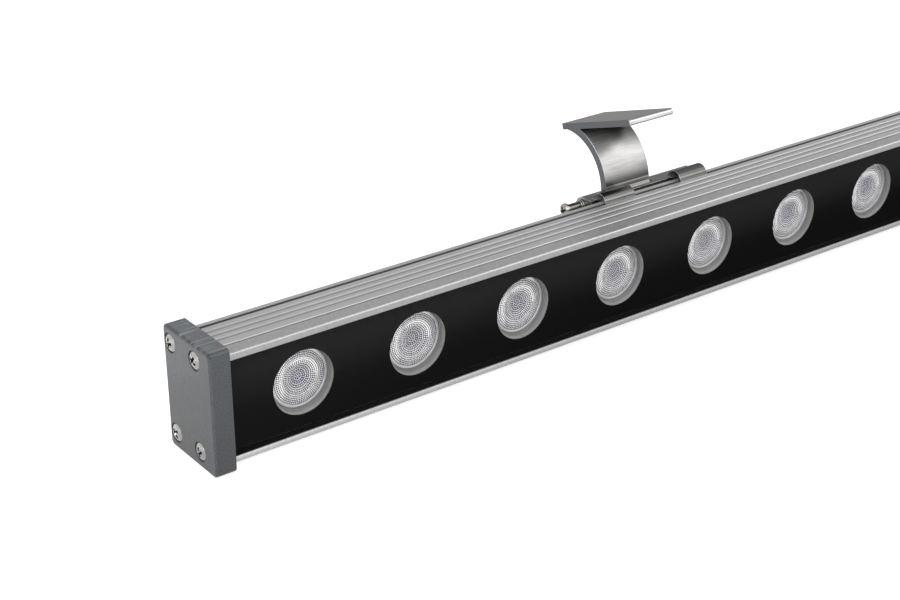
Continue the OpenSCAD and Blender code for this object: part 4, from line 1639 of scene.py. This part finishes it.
@dataclass(frozen=True)
class Card:
    """A grey card beside the set that only reflections see, paler towards its edges."""

    name: str
    place: Triple
    size: Span
    middle: float
    edge: float
    fade: Span = (0.3, 1.0)

    def build(self, aim: Triple) -> None:
        """Lays the card flat, or turns one that is above the floor to face a point.

        Args:
            aim: The point that it faces.
        """
        clear_selection()
        bpy.ops.mesh.primitive_plane_add(size=1.0)
        card = name_active(self.name)
        toward = Vector(aim) - Vector(self.place)
        turn = toward.to_track_quat("Z", "Y") if self.place[2] > 0 else None
        card.matrix_world = Matrix.LocRotScale(Vector(self.place), turn, (*self.size, 1.0))
        s = Shader.named(f"{self.name}_paper")
        across = s.length(s.place((2.0, 2.0, 0.0)))
        level = self.middle + across.between(*self.fade) * (self.edge - self.middle)
        wear(card, s.finish(s.node("ShaderNodeEmission", {"Strength": level})))
        card.visible_camera = card.visible_diffuse = card.visible_shadow = False


@dataclass(frozen=True)
class Lamp:
    """A soft rectangular lamp."""

    name: str
    place: Triple
    size: Span
    power: float
    colour: Colour = WHITE

    def build(self, aim: Triple) -> None:
        """Adds the lamp, turned to a point.

        Args:
            aim: The point that it lights.
        """
        data = bpy.data.lights.new(self.name, "AREA")
        data.shape = "RECTANGLE"
        data.size, data.size_y = self.size
        data.energy = self.power
        data.color = self.colour
        toward = Vector(aim) - Vector(self.place)
        linked(self.name, data).matrix_world = Matrix.Translation(self.place) @ \
            toward.to_track_quat("-Z", "Y").to_matrix().to_4x4()


@dataclass
class Studio:
    """A pale floor, soft lamps and the camera at the photograph's angle."""

    eye: Triple = (-0.27459, -0.52518, 0.34586)
    azimuth: float = -36.777
    elevation: float = 25.507
    roll: float = -0.134
    focal_mm: float = 70.563
    sensor_mm: float = 36.0
    floor_size: float = 40.0
    floor_z: float = -0.05 * MM
    floor_greys: Span = (0.78, 0.8)
    floor_glow: float = 0.72
    sky_light: float = 0.55
    aim: Triple = (0.25, 0.0, 0.03)
    cards: tuple[Card, ...] = (
        Card("bench_card", (0.5, -0.02, -0.01 * MM), (1.5, 0.16), 0.4, 1.0),
        Card("rear_bench_card", (0.9, 0.95, -0.01 * MM), (2.6, 1.5), 0.25, 0.8),
        Card("back_card", (1.35, 1.5, 0.75), (3.2, 1.7), 0.4, 0.6),
        Card("ceiling_card", (0.7, 0.3, 2.2), (2.4, 1.6), 0.35, 0.6),
        Card("front_card", (1.3, -1.45, 0.5), (2.0, 0.5), 0.3, 0.6),
    )
    lamps: tuple[Lamp, ...] = (
        Lamp("front_softbox", (1.25, -1.1, 1.3), (2.2, 1.1), 11.0),
        Lamp("left_softbox", (-1.4, -0.5, 0.85), (1.6, 1.3), 11.0, (0.93, 0.96, 1.0)),
    )

    def camera(self) -> None:
        """Creates the camera and makes it the scene's."""
        a, e = math.radians(self.azimuth), math.radians(self.elevation)
        ahead = Vector((-math.sin(a) * math.cos(e), math.cos(a) * math.cos(e), -math.sin(e)))
        level = ahead.cross(Vector((0.0, 0.0, 1.0))).normalized()
        turn = math.radians(self.roll)
        right = level * math.cos(turn) + level.cross(ahead) * math.sin(turn)
        data = bpy.data.cameras.new("product_camera")
        data.lens = self.focal_mm
        data.sensor_width = self.sensor_mm
        data.sensor_fit = "HORIZONTAL"
        camera = linked("product_camera", data)
        camera.matrix_world = Matrix.Translation(self.eye) @ \
            Matrix((right, right.cross(ahead), -ahead)).transposed().to_4x4()
        bpy.context.scene.camera = camera

    def floor(self) -> None:
        """A pale floor that reads as white and keeps a faint shadow."""
        clear_selection()
        bpy.ops.mesh.primitive_plane_add(size=self.floor_size, location=(0.0, 0.0, self.floor_z))
        floor = name_active("studio_floor")
        s = Shader.named("pale_floor")
        low, high = ((grey, grey, grey) for grey in self.floor_greys)
        lit = s.node("ShaderNodeBsdfDiffuse", {"Color": s.blend(s.noise(Pattern(3.0)), low, high)})
        glow = s.node("ShaderNodeEmission", {"Color": WHITE, "Strength": s.seen() * self.floor_glow})
        wear(floor, s.finish(s.node("ShaderNodeAddShader", {0: lit, 1: glow})))

    def world(self) -> None:
        """A white background that lights the object at a lower level."""
        world = bpy.data.worlds.new("studio_world")
        bpy.context.scene.world = world
        s = Shader(world)
        level = self.sky_light + s.seen() * (1.0 - self.sky_light)
        s.finish(s.node("ShaderNodeBackground", {"Color": WHITE, "Strength": level}), "World")

    def build(self) -> None:
        """Sets up the view, the floor, the lamps and the world."""
        bpy.context.scene.view_settings.view_transform = "Standard"
        self.camera()
        self.floor()
        self.world()
        for each in (*self.cards, *self.lamps):
            each.build(self.aim)


def dress_nodes(record: dict) -> None:
    """Gives every CAD node the finish of its slot in the record."""
    for row in record["subparts"]:
        wear(bpy.data.objects[row["node"]], Paint[row["material_slot"]].material())


def main() -> None:
    """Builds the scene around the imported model."""
    logging.basicConfig(level=logging.INFO, format="%(message)s")
    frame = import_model()
    studio = Studio()
    studio.build()
    dress_nodes(frame["record"])
    Housing().build()
    FrontPane().build()
    for side in SIDES:
        EndCap(side).build()
        Bracket(side).build()
    BeadedLens().build()
    Gland().build()


if __name__ == "__main__":
    main()
